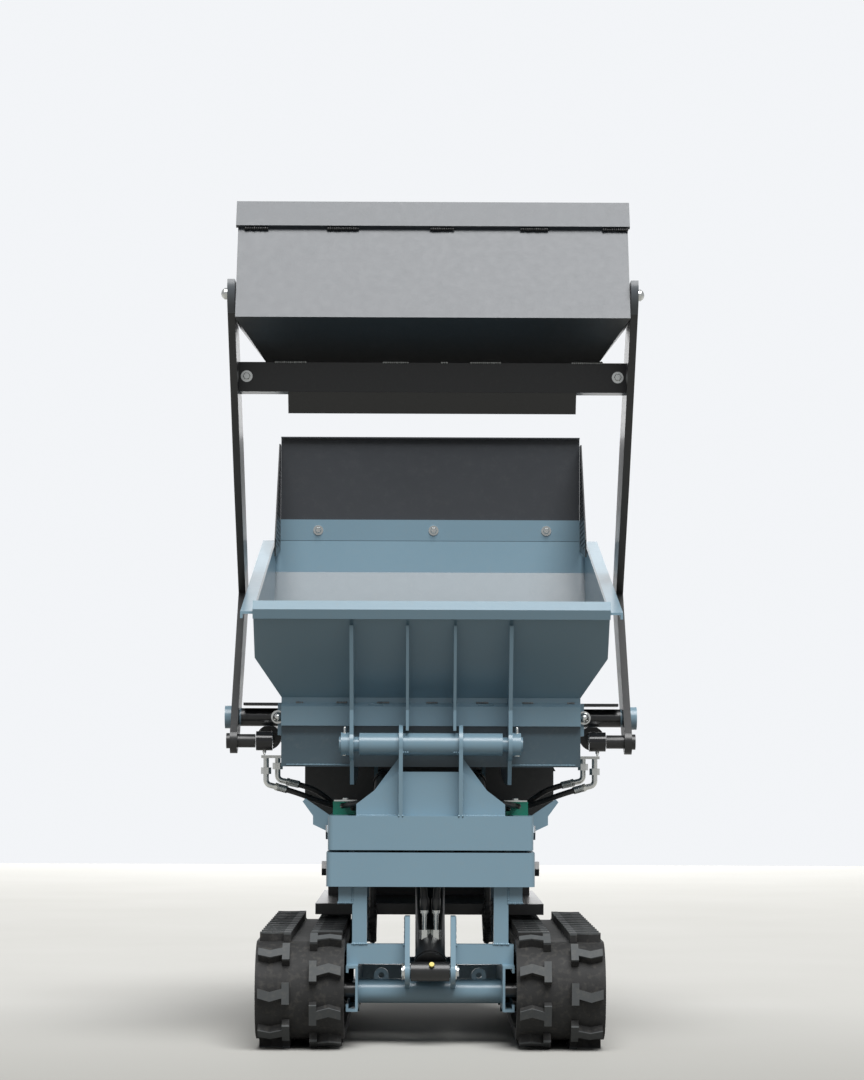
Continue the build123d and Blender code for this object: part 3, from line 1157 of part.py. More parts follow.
def make_hose_fittings():
    """The skip's two bent pipes on each side, with their nuts, on a small shelf."""
    ends = [points[0] for points in skip_hose_points]
    pieces = [block(skip_side_low, skip_side_low + FITTING_SHELF_REACH, ends[0][1] - FITTING_SHELF_EDGE,
                    ends[1][1] + FITTING_SHELF_EDGE, FITTING_SHELF, FITTING_SHELF + PLATE)]
    for x, y, z in ends:
        x_pipe, z_bend = x + PIPE_RUN, z + PIPE_FALL
        pieces += [
            pipe([(x_pipe, y, FITTING_SHELF + 1), (x_pipe, y, z_bend), (x, y, z)], HOSE_RADIUS, PIPE_BEND),
            hex_nut((x_pipe, y, z_bend + PIPE_RUN), FITTING_NUT, FITTING_NUT_HEIGHT),
        ]
    return fused(pieces)


def make_lift_fittings():
    """The lift cylinder's two ports on top of its barrel: a nut and a short pipe each."""
    x, y, top = LIFT_HOSE[0]
    bottom = LIFT_PORT_LOW
    one = fused([
        hex_nut((x, y, bottom), 20, 22),
        rod_along((x, y, bottom), (0, 0, 1), HOSE_RADIUS - 1, top - bottom - 8),
        rod_along((x, y, top - 8), (0, 0, 1), HOSE_RADIUS + 2, 8),
    ])
    return pair(cut(one, lift_barrel))


# ---- the pieces ----------------------------------------------------------------------------------------
track = make_track()
idler_radius = belt_inner_radius - WHEEL_CLEARANCE
idler = make_wheel((front_axle_y, axle_z), idler_radius)
sprocket = make_wheel((rear_axle_y, axle_z), idler_radius, SPROCKET_TEETH)
roller_z = axle_z - belt_inner_radius + ROLLER_RADIUS + WHEEL_CLEARANCE
roller_step = axle_distance / (ROLLERS + 1)
rollers = [
    make_wheel((front_axle_y + (n + 1) * roller_step, roller_z), ROLLER_RADIUS) for n in range(ROLLERS)
]
carrier_z = axle_z + belt_inner_radius - CARRIER_RADIUS - WHEEL_CLEARANCE
carrier = fused([
    cross_rod((front_axle_y + axle_distance / 2, carrier_z), CARRIER_RADIUS,
              track_middle - CARRIER_HALF, track_middle + CARRIER_HALF),
    cross_rod((front_axle_y + axle_distance / 2, carrier_z), 8, rail_outer - 4, track_middle - CARRIER_HALF),
])

rim_flanges, lip, stiffener, back_strip = make_skip_rim()
outer_ribs, inner_ribs, rod_lugs = make_skip_ribs()
outer_ribs, inner_ribs = cut(outer_ribs, stiffener), cut(inner_ribs, stiffener)
guard_plate, guard_wing = make_guard()
deck_hoses = [hose(points, HOSE_RADIUS) for points in DECK_HOSES]
skip_hoses = [hose(points, HOSE_RADIUS) for points in skip_hose_points]
lift_hose = hose(LIFT_HOSE, LIFT_HOSE_RADIUS)
skip_tub = make_skip_tub()
shovel = make_shovel()
shafts = make_loader_shafts()
arm = make_loader_arm()

wheels = [idler, sprocket, *rollers, carrier]
rail = cut(make_rail(), *wheels)

lift_barrel, lift_rod = make_cylinder(
    0, LIFT_BASE, lift_pin, LIFT_BARREL_RADIUS, LIFT_ROD_RADIUS, LIFT_EYE_RADIUS + 2, LIFT_EYE_RADIUS * 2,
    LIFT_HEAD_GAP, LIFT_TAIL_GAP, LIFT_EYE_WIDTH)
tip_barrel, tip_rod = make_cylinder(
    tip_from_middle, TIP_BASE, TIP_ROD_PIN, TIP_BARREL_RADIUS, TIP_ROD_RADIUS, TIP_EYE_RADIUS, TIP_EYE_WIDTH,
    TIP_HEAD_GAP, TIP_TAIL_GAP)
loader_barrel, loader_rod = make_cylinder(
    loader_cylinder_from_middle, LOADER_ANCHOR, LOADER_ROD_PIN, LOADER_BARREL_RADIUS, LOADER_ROD_RADIUS,
    LOADER_EYE_RADIUS, LOADER_EYE_WIDTH, LOADER_HEAD_GAP, LOADER_TAIL_GAP)

nodes = {
    "track_left": mirrored(track),
    "track_right": track,
    "idlers": pair(idler),
    "sprockets": pair(sprocket),
    "track_rollers": Compound(both_sides([*rollers, carrier])),
    "side_rails": pair(rail),
    "cross_tubes": make_cross_tubes(),
    "scissor_posts": make_posts(),
    "chassis_lugs": make_chassis_lugs(),
    "scissor_base": make_base_frame(),
    "engine_deck": cut(fused([make_engine_deck(), *pair(make_platform_brackets()).solids()]), make_posts()),
    "engine_block": block(-ENGINE_SIZE[0] / 2, ENGINE_SIZE[0] / 2, cowl_front + ENGINE_SETBACK,
                          cowl_front + ENGINE_SETBACK + ENGINE_SIZE[1],
                          DECK_TOP, DECK_TOP + ENGINE_SIZE[2]),
    "engine_cowl": make_cowl(),
    "engine_door": make_door(),
    "control_console": make_console(),
    "control_levers": make_levers(),
    "handlebar": make_handlebar(),
    "operator_platform": make_platform(),
    "lift_cylinder": lift_barrel,
    "lift_rod": lift_rod,
    "lift_fittings": make_lift_fittings(),
    "scissor_outer_arms": make_outer_arms(),
    "scissor_inner_arms": make_inner_arms(),
    "deck_frame": make_scissor_frame(deck_low, inner_arm_from_middle - 1, 2 * deck_half, DECK_PIN_HEAD),
    "hinge_bracket": make_hinge_bracket(),
    "deck_lugs": make_deck_lugs(),
    "hose_clamps": pair(cut(make_hose_clamp(), *deck_hoses)),
    "hose_ports": cut(make_hose_ports(), *both_sides(deck_hoses + skip_hoses)),
    "skip_tub": skip_tub,
    "skip_rim": rim_flanges,
    "skip_trim": Compound([lip, stiffener, back_strip]),
    "guard_panel": guard_plate,
    "guard_wings": pair(cut(guard_wing, skip_tub)),
    "skip_ribs": Compound([*outer_ribs.solids(), *inner_ribs.solids(), *rod_lugs.solids()]),
    "hinge_pin": make_hinge_pin(),
    "loader_shafts": pair(shafts),
    "hose_fittings": pair(cut(make_hose_fittings(), *skip_hoses)),
    "loader_arms": pair(arm),
    "loader_crossbar": cut(make_crossbar(), shovel),
    "shovel": shovel,
    "shovel_blade": make_blade(),
    "spout_plate": make_spout(),
}
for side, place in (("left", mirrored), ("right", lambda piece: piece)):
    nodes[f"tip_cylinder_{side}"] = place(tip_barrel)
    nodes[f"tip_rod_{side}"] = place(tip_rod)
    nodes[f"loader_cylinder_{side}"] = place(loader_barrel)
    nodes[f"loader_rod_{side}"] = place(loader_rod)
    nodes[f"lift_hose_{side}"] = place(cut(lift_hose, make_engine_deck()))
    for end, deck_hose, skip_hose in zip(("rod", "barrel"), deck_hoses, skip_hoses):
        nodes[f"deck_hose_{end}_{side}"] = place(deck_hose)
        nodes[f"skip_hose_{end}_{side}"] = place(skip_hose)

front_reach = SHOVEL_HEEL[0]
shift = -(front_reach + handle_reach) / 2
for name, shape in nodes.items():
    export_step(shape.moved(Location((0, shift, 0))), f"parts/{name}.step")
print("nodes", len(nodes), "shift", shift)


# ---- joints, printed in the record's frame (metres and degrees) ----------------------------------------
def turned(point, centre, angle):
    """A (y, z) point turned about a centre, from +Y towards +Z."""
    a = radians(angle)
    y, z = point[0] - centre[0], point[1] - centre[1]
    return (centre[0] + y * cos(a) - z * sin(a), centre[1] + y * sin(a) + z * cos(a))


def cylinder_motion(base, before, after, lead):
    """How far a cylinder swings (radians) and slides (metres) for each radian of the joint that drives it."""
    swing = atan2(after[1] - base[1], after[0] - base[0]) - atan2(before[1] - base[1], before[0] - base[0])
    swing = (swing + pi) % (2 * pi) - pi
    slide = hypot(after[0] - base[0], after[1] - base[1]) - hypot(before[0] - base[0], before[1] - base[1])
    return round(swing / radians(lead), 5), round(slide / 1000 / radians(lead), 5)


lifted_inner_pin = (SCISSOR_PIN_Y, base_middle_z + ARM_LENGTH * sin(radians(closed_angle + LIFT_ANGLE)))
lifted_roller = (SCISSOR_PIN_Y + ARM_LENGTH * cos(radians(closed_angle + LIFT_ANGLE)), base_middle_z)
motion = {
    "lift": cylinder_motion(
        LIFT_BASE, lift_pin, between(lifted_roller, lifted_inner_pin, LIFT_POINT), LIFT_ANGLE),
    "tip": cylinder_motion(TIP_BASE, TIP_ROD_PIN, turned(TIP_ROD_PIN, HINGE, TIP_ANGLE), TIP_ANGLE),
    "loader": cylinder_motion(
        LOADER_ANCHOR, LOADER_ROD_PIN, turned(LOADER_ROD_PIN, LOADER_PIVOT, LOADER_ANGLE), LOADER_ANGLE),
}
places = {
    "outer_pin": outer_pin, "inner_pin": inner_pin, "centre_pin": centre_pin, "lift_base": LIFT_BASE,
    "lift_pin": lift_pin, "tip_base": TIP_BASE, "tip_rod_pin": TIP_ROD_PIN, "hinge": HINGE,
    "loader_pivot": LOADER_PIVOT, "loader_anchor": LOADER_ANCHOR, "loader_rod_pin": LOADER_ROD_PIN,
    "platform_hinge": platform_hinge, "door_hinge": (door_end, DOOR_LOW), "tie_down": TIE_DOWN,
}
print("motion", motion)
print("places", {name: (round((y + shift) / 1000, 5), round(z / 1000, 5)) for name, (y, z) in places.items()})
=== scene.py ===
"""A tracked site dumper with a scissor-lifted skip and a self-loading shovel, dressed for a plain studio."""

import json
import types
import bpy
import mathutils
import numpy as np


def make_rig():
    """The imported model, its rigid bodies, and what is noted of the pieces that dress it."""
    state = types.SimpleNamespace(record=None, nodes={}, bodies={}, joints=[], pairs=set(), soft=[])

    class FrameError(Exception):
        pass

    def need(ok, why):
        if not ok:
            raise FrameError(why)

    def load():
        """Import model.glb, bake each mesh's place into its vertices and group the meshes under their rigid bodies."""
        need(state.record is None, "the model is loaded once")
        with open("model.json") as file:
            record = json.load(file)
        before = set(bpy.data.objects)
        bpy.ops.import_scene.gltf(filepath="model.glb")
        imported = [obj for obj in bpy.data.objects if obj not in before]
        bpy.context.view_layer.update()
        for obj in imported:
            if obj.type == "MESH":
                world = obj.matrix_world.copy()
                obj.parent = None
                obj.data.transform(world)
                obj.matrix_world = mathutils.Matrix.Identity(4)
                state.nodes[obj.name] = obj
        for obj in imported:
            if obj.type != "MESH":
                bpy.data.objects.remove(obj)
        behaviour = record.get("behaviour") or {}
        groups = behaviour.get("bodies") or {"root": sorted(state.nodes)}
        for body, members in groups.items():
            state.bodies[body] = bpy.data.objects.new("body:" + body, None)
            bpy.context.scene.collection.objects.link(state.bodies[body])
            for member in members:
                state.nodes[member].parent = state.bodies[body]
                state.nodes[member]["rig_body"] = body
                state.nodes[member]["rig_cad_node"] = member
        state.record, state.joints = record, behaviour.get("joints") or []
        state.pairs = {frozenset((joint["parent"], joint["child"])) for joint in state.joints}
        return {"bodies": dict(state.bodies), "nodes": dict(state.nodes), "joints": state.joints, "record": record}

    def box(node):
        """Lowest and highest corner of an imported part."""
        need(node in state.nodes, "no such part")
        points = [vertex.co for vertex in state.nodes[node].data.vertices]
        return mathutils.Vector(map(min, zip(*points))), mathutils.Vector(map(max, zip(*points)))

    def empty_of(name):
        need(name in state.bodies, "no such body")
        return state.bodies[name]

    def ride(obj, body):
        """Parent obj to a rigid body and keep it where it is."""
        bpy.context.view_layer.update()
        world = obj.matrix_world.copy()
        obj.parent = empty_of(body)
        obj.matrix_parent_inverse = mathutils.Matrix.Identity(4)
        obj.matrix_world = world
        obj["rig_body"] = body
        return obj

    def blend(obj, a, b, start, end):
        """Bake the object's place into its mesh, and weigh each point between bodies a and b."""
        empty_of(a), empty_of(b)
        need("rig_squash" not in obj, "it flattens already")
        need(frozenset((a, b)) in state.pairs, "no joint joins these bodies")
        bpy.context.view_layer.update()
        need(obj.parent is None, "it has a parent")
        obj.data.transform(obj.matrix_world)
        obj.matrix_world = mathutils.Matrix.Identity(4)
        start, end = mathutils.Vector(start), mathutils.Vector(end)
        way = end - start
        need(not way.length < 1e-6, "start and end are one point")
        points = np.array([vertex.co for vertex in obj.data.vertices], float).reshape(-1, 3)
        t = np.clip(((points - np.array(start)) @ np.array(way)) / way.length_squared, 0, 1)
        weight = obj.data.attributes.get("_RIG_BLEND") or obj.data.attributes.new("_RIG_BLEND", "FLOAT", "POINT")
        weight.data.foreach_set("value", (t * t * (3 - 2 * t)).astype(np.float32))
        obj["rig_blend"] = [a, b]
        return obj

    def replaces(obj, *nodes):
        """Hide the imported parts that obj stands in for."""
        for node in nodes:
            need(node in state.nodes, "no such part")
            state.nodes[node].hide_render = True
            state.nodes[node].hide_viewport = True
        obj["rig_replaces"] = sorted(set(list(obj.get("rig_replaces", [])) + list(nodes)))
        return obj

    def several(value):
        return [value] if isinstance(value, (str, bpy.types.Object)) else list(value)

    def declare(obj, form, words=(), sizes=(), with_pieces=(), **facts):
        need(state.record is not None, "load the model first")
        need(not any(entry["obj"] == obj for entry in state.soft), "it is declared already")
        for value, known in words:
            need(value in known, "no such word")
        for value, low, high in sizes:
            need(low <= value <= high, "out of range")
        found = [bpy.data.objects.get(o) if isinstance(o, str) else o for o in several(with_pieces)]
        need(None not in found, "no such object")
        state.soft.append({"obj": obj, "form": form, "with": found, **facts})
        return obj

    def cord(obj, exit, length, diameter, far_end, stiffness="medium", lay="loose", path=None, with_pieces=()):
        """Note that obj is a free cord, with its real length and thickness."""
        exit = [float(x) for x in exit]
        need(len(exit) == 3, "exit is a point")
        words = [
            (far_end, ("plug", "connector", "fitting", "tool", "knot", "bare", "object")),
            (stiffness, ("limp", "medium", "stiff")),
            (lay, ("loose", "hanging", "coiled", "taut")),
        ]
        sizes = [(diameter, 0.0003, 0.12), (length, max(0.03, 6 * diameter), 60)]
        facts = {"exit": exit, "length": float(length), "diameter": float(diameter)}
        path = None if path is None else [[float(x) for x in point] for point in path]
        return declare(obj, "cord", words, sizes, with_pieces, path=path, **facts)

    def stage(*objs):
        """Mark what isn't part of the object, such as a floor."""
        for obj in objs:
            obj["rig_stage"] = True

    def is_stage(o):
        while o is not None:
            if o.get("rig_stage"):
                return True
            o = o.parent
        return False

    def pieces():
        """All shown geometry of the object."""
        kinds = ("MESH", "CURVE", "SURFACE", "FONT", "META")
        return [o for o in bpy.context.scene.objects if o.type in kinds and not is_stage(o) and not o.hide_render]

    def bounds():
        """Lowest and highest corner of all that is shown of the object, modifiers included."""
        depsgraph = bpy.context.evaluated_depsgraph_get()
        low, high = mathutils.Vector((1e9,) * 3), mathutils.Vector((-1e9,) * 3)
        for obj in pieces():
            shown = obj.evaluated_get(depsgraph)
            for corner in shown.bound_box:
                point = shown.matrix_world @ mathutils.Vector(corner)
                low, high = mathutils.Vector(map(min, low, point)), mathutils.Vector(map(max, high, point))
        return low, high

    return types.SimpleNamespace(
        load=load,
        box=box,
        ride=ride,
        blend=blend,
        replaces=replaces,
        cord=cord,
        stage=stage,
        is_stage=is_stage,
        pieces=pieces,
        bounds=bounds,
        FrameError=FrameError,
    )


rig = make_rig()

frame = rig.load()

import json
import math

import bmesh
import bpy
from mathutils import Euler, Matrix, Vector

cad_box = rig.bounds()

# ---- Camera --------------------------------------------------------------------------------------------
# The view stands low in front of the machine, level with the skip's hinge, through a long lens.  It looks
# up a little, and leans a fifth of a degree.
machine_front = Vector(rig.box("track_left")[0]).y
camera_data = bpy.data.cameras.new("camera")
camera_data.lens = 107.2
camera_data.clip_end = 60.0
camera = bpy.data.objects.new("camera", camera_data)
bpy.context.collection.objects.link(camera)
camera.matrix_world = (
    Matrix.Translation((-0.0284, machine_front - 6.52, 0.600))
    @ Euler((math.radians(90.0 + 3.806), 0.0, math.radians(-0.25))).to_matrix().to_4x4()
    @ Matrix.Rotation(math.radians(0.2), 4, "Z")
)
bpy.context.scene.camera = camera

# ---- Floor, backdrop and light -------------------------------------------------------------------------
# Pale concrete in front of a white wall, under a bright sky that opens high in front of the machine.  The
# camera sees the floor and the world paler than the light that they throw back on the machine.


def linear(hex_colour):
    """A colour written as sRGB hex, turned linear, with full alpha."""
    parts = [int(hex_colour[i:i + 2], 16) / 255 for i in (0, 2, 4)]
    return [p / 12.92 if p <= 0.04045 else ((p + 0.055) / 1.055) ** 2.4 for p in parts] + [1.0]


def add(tree, kind, values=None, links=None, **settings):
    """Adds a node: values sets its sockets, links joins them to other outputs, and the rest are settings."""
    made = tree.nodes.new(kind)
    for key, value in settings.items():
        setattr(made, key, value)
    for key, value in (values or {}).items():
        made.inputs[key].default_value = value
    for key, source in (links or {}).items():
        tree.links.new(source, made.inputs[key])
    return made


def repeats(size_mm):
    """The noise scale at which a pattern's patches are a size in millimetres across."""
    return 1000.0 / size_mm


def new_material(name):
    """An empty node material, its tree and its shader."""
    material = bpy.data.materials.new(name)
    material.use_nodes = True
    tree = material.node_tree
    return material, tree, tree.nodes["Principled BSDF"]


def seen_by_camera(tree):
    """1 where a ray comes from the camera or a glossy surface, and 0 for light that is thrown about."""
    rays = add(tree, "ShaderNodeLightPath")
    return add(tree, "ShaderNodeMath", None,
               {0: rays.outputs["Is Camera Ray"], 1: rays.outputs["Is Glossy Ray"]},
               operation="MAXIMUM").outputs[0]


floor_material, tree, shader = new_material("pale_concrete_floor")
place = add(tree, "ShaderNodeNewGeometry")
cloud = add(tree, "ShaderNodeTexNoise", {"Scale": repeats(714.3), "Detail": 5.0},
            {"Vector": place.outputs["Position"]})
tone = add(tree, "ShaderNodeValToRGB", None, {"Fac": cloud.outputs["Fac"]})
tone.color_ramp.elements[0].color = linear("c6c5c0")
tone.color_ramp.elements[1].color = linear("d0cfcb")
# The floor is darker towards the front: darkest before y = -1.3 m, reaching its plain tone at y = 0.6 m.
axes = add(tree, "ShaderNodeSeparateXYZ", None, {"Vector": place.outputs["Position"]})
away = add(tree, "ShaderNodeMapRange", {"From Min": -1.3, "From Max": 0.6}, {"Value": axes.outputs["Y"]})
floor_darker_towards_front = add(tree, "ShaderNodeMix", {"A": linear("b3b2ad")},
            {"Factor": away.outputs["Result"], "B": tone.outputs["Color"]}, data_type="RGBA")
shade = add(tree, "ShaderNodeMix", {"A": linear("6e6d69")},
            {"Factor": seen_by_camera(tree), "B": floor_darker_towards_front.outputs["Result"]}, data_type="RGBA")
tree.links.new(shade.outputs["Result"], shader.inputs["Base Color"])
shader.inputs["Roughness"].default_value = 0.95
shader.inputs["Specular IOR Level"].default_value = 0.1

FLOOR_HALF = 30.0
WALL_Y = 10.3                # the floor ends at the foot of the wall
floor_mesh = bpy.data.meshes.new("floor")
floor_mesh.from_pydata(
    [(-FLOOR_HALF, -FLOOR_HALF, 0), (FLOOR_HALF, -FLOOR_HALF, 0), (FLOOR_HALF, WALL_Y, 0),
     (-FLOOR_HALF, WALL_Y, 0)],
    [], [(0, 1, 2, 3)])
floor = bpy.data.objects.new("floor", floor_mesh)
bpy.context.collection.objects.link(floor)
floor_mesh.materials.append(floor_material)
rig.stage(floor)

world = bpy.data.worlds.new("studio")
bpy.context.scene.world = world
world.use_nodes = True
tree = world.node_tree
backing = tree.nodes["Background"]
rays = add(tree, "ShaderNodeLightPath")
mirrored = add(tree, "ShaderNodeMix", {"A": 0.24, "B": 0.5}, {"Factor": rays.outputs["Is Glossy Ray"]},
               data_type="FLOAT")
strength = add(tree, "ShaderNodeMix", {"B": 0.97}, {"Factor": rays.outputs["Is Camera Ray"],
               "A": mirrored.outputs["Result"]}, data_type="FLOAT")
tree.links.new(strength.outputs["Result"], backing.inputs["Strength"])
backing.inputs["Color"].default_value = linear("f6f8fb")


def lamp(name, kind, energy, place, target, **settings):
    """A lamp at a place, turned towards a target."""
    data = bpy.data.lights.new(name, kind)
    data.energy = energy
    for key, value in settings.items():
        setattr(data, key, value)
    made = bpy.data.objects.new(name, data)
    bpy.context.collection.objects.link(made)
    made.location = place
    made.rotation_euler = (Vector(target) - Vector(place)).to_track_quat("-Z", "Y").to_euler()


lamp("sky", "SUN", 3.6, (0.5, -2.4, 4.6), (0.0, 0.0, 0.4), angle=math.radians(44.0))
lamp("wall_bounce", "AREA", 160.0, (0.0, 10.6, 3.0), (0.0, 0.0, 0.9), size=6.0)
bpy.context.scene.view_settings.view_transform = "Standard"

# ---- Rubber tracks -------------------------------------------------------------------------------------
# Two endless belts of black carbon-filled rubber, moulded in one piece with their lugs in two rows.  The
# lugs' outer faces are scuffed grey by concrete; the belt between them stays darker.
WORN_DEPTH = 0.0025          # how deep the scuffing reaches into a lug
front_axle = sum((Vector(c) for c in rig.box("idlers")), Vector()) / 2
rear_axle = sum((Vector(c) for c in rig.box("sprockets")), Vector()) / 2
lug_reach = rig.box("track_right")[1][2] - front_axle.z


def on_lug_faces(tree, place):
    """1 on the outermost faces of the lugs, all round the belt."""
    axes = add(tree, "ShaderNodeSeparateXYZ", None, {"Vector": place})
    ahead = add(tree, "ShaderNodeMath", {1: front_axle.y}, {0: axes.outputs["Y"]}, operation="MAXIMUM")
    centre = add(tree, "ShaderNodeMath", {1: rear_axle.y}, {0: ahead.outputs[0]}, operation="MINIMUM")
    along = add(tree, "ShaderNodeMath", None, {0: axes.outputs["Y"], 1: centre.outputs[0]},
                operation="SUBTRACT")
    rise = add(tree, "ShaderNodeMath", {1: front_axle.z}, {0: axes.outputs["Z"]}, operation="SUBTRACT")
    spoke = add(tree, "ShaderNodeCombineXYZ", None, {"Y": along.outputs[0], "Z": rise.outputs[0]})
    reach = add(tree, "ShaderNodeVectorMath", None, {0: spoke.outputs["Vector"]}, operation="LENGTH")
    return add(tree, "ShaderNodeMath", {1: lug_reach - WORN_DEPTH}, {0: reach.outputs["Value"]},
               operation="GREATER_THAN").outputs[0]


def two_tone(tree, place, base, zone, colour):
    """The base colour, and another one in a zone, which is a function of the tree and the place."""
    if zone is None:
        return base
    return add(tree, "ShaderNodeMix", {"B": linear(colour)}, {"Factor": zone(tree, place), "A": base},
               data_type="RGBA").outputs["Result"]


def rubber(name, colour, worn, roughness=0.72, dust="8a857b", dust_amount=0.3, zone=None,
           zone_colour="4c4f50"):
    """Moulded rubber: a slow change of tone, rubbed patches and a fine grain in the surface."""
    material, tree, shader = new_material(name)
    place = add(tree, "ShaderNodeTexCoord").outputs["Object"]
    slow = add(tree, "ShaderNodeTexNoise", {"Scale": repeats(71.43), "Detail": 6.0, "Roughness": 0.65},
               {"Vector": place})
    patch = add(tree, "ShaderNodeMapRange", {"From Min": 0.42, "From Max": 0.68},
                {"Value": slow.outputs["Fac"]})
    tone = add(tree, "ShaderNodeMix", {"A": linear(colour), "B": linear(worn)},
               {"Factor": patch.outputs["Result"]}, data_type="RGBA").outputs["Result"]
    tone = two_tone(tree, place, tone, zone, zone_colour)
    speck = add(tree, "ShaderNodeTexNoise", {"Scale": repeats(10.526), "Detail": 3.0}, {"Vector": place})
    share = add(tree, "ShaderNodeMapRange", {"From Min": 0.5, "From Max": 0.78, "To Max": dust_amount},
                {"Value": speck.outputs["Fac"]})
    dusty = add(tree, "ShaderNodeMix", {"B": linear(dust)}, {"Factor": share.outputs["Result"], "A": tone},
                data_type="RGBA")
    fine = add(tree, "ShaderNodeTexNoise", {"Scale": repeats(2.381), "Detail": 2.0}, {"Vector": place})
    bump = add(tree, "ShaderNodeBump", {"Strength": 0.35, "Distance": 0.0006},
               {"Height": fine.outputs["Fac"]})
    tree.links.new(dusty.outputs["Result"], shader.inputs["Base Color"])
    tree.links.new(bump.outputs["Normal"], shader.inputs["Normal"])
    shader.inputs["Roughness"].default_value = roughness
    shader.inputs["IOR"].default_value = 1.52
    return material


def dress(material, *names):
    """Gives CAD nodes a material."""
    for name in names:
        mesh = frame["nodes"][name].data
        mesh.materials.clear()
        mesh.materials.append(material)


track_rubber = rubber("moulded_track_rubber", "1a1a1a", "262626", dust_amount=0.14, zone=on_lug_faces)
dress(track_rubber, "track_left", "track_right")

# ---- Track wheels --------------------------------------------------------------------------------------
# Idlers, sprockets and rollers are steel castings and forgings under thin black enamel.


def enamel(name, colour, fade, roughness=0.36, dust=0.16, dust_colour="9a9a94", coat=0.3,
           zone=None, zone_colour="1b1c1e"):
    """Sprayed enamel on sheet steel: slow fading, orange peel, a breath of dust and small scuffs."""
    material, tree, shader = new_material(name)
    place = add(tree, "ShaderNodeTexCoord").outputs["Object"]
    slow = add(tree, "ShaderNodeTexNoise", {"Scale": repeats(312.5), "Detail": 4.0, "Roughness": 0.6},
               {"Vector": place})
    tone = add(tree, "ShaderNodeMix", {"A": linear(colour), "B": linear(fade)},
               {"Factor": slow.outputs["Fac"]}, data_type="RGBA").outputs["Result"]
    tone = two_tone(tree, place, tone, zone, zone_colour)
    speck = add(tree, "ShaderNodeTexNoise", {"Scale": repeats(16.667), "Detail": 8.0, "Roughness": 0.75},
                {"Vector": place})
    share = add(tree, "ShaderNodeMapRange", {"From Min": 0.52, "From Max": 0.82, "To Max": dust},
                {"Value": speck.outputs["Fac"]})
    dusty = add(tree, "ShaderNodeMix", {"B": linear(dust_colour)},
                {"Factor": share.outputs["Result"], "A": tone},
                data_type="RGBA")
    gloss = add(tree, "ShaderNodeMapRange", {"To Min": roughness - 0.08, "To Max": roughness + 0.14},
                {"Value": speck.outputs["Fac"]})
    skin = add(tree, "ShaderNodeTexNoise", {"Scale": repeats(1.923), "Detail": 1.0}, {"Vector": place})
    bump = add(tree, "ShaderNodeBump", {"Strength": 0.12, "Distance": 0.0004},
               {"Height": skin.outputs["Fac"]})
    tree.links.new(dusty.outputs["Result"], shader.inputs["Base Color"])
    tree.links.new(gloss.outputs["Result"], shader.inputs["Roughness"])
    tree.links.new(bump.outputs["Normal"], shader.inputs["Normal"])
    shader.inputs["IOR"].default_value = 1.5
    shader.inputs["Coat Weight"].default_value = coat
    shader.inputs["Coat Roughness"].default_value = 0.2
    return material


# Black enamel: dark, with soft highlights along edges and tubes.
black_enamel = enamel("black_enamel_on_steel", "131415", "1a1b1c", dust=0.05)
dress(black_enamel, "idlers", "sprockets", "track_rollers")

# ---- Chassis -------------------------------------------------------------------------------------------
# Welded steel: folded channels, square and round tube, laser-cut plate.  All of it is sprayed in one coat
# of blue-grey enamel after welding, so the weld beads carry the same paint.
PAINT, PAINT_FADE = "7f9dad", "87a5b5"
# Blue-grey enamel: glossy enough to carry a pale sheen on faces that look up.
blue_grey = enamel("blue_grey_enamel", PAINT, PAINT_FADE, roughness=0.3)
dress(blue_grey, "side_rails", "cross_tubes", "scissor_posts", "chassis_lugs")


def node_group(name, inputs):
    """An empty Geometry Nodes tree with Geometry in and out, named inputs and a Material input."""
    tree = bpy.data.node_groups.new(name, "GeometryNodeTree")
    tree.interface.new_socket("Geometry", in_out="INPUT", socket_type="NodeSocketGeometry")
    for label, kind in inputs.items():
        tree.interface.new_socket(label, in_out="INPUT", socket_type=kind)
    tree.interface.new_socket("Material", in_out="INPUT", socket_type="NodeSocketMaterial")
    tree.interface.new_socket("Geometry", in_out="OUTPUT", socket_type="NodeSocketGeometry")
    return tree, add(tree, "NodeGroupInput").outputs


def close_group(tree, given, result):
    """Ends a tree: its instances made real, and its material set."""
    real = add(tree, "GeometryNodeRealizeInstances", None, {"Geometry": result})
    painted = add(tree, "GeometryNodeSetMaterial", None,
                  {"Geometry": real.outputs["Geometry"], "Material": given["Material"]})
    add(tree, "NodeGroupOutput", None, {"Geometry": painted.outputs["Geometry"]})


def grow(name, mesh, tree, values, material, body):
    """Runs a tree on a mesh and keeps the result as a plain mesh that rides on a body."""
    made = bpy.data.objects.new(name, mesh)
    bpy.context.collection.objects.link(made)
    modifier = made.modifiers.new("grow", "NODES")
    modifier.node_group = tree
    for item in tree.interface.items_tree:
        if item.in_out == "INPUT" and item.name in values:
            modifier[item.identifier] = values[item.name]
        if item.in_out == "INPUT" and item.name == "Material":
            modifier[item.identifier] = material
    graph = bpy.context.evaluated_depsgraph_get()
    result = bpy.data.meshes.new_from_object(made.evaluated_get(graph), depsgraph=graph)
    made.modifiers.clear()
    made.data = result
    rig.ride(made, body)
    return made


# A weld bead: flattened drops of metal laid one over the next along a run.
weld_tree, given = node_group(
    "weld_bead", {"Pitch": "NodeSocketFloat", "Width": "NodeSocketFloat", "Seed": "NodeSocketInt"})
run = add(weld_tree, "GeometryNodeMeshToCurve", None, {"Mesh": given["Geometry"]})
steps = add(weld_tree, "GeometryNodeResampleCurve", None,
            {"Curve": run.outputs["Curve"], "Length": given["Pitch"]}, mode="LENGTH")
drop = add(weld_tree, "GeometryNodeMeshUVSphere", {"Segments": 6, "Rings": 4}, {"Radius": given["Width"]})
size = add(weld_tree, "FunctionNodeRandomValue", {2: 0.42, 3: 0.6}, {"Seed": given["Seed"]},
           data_type="FLOAT")
drops = add(weld_tree, "GeometryNodeInstanceOnPoints", None,
            {"Points": steps.outputs["Curve"], "Instance": drop.outputs["Mesh"], "Scale": size.outputs[1]})
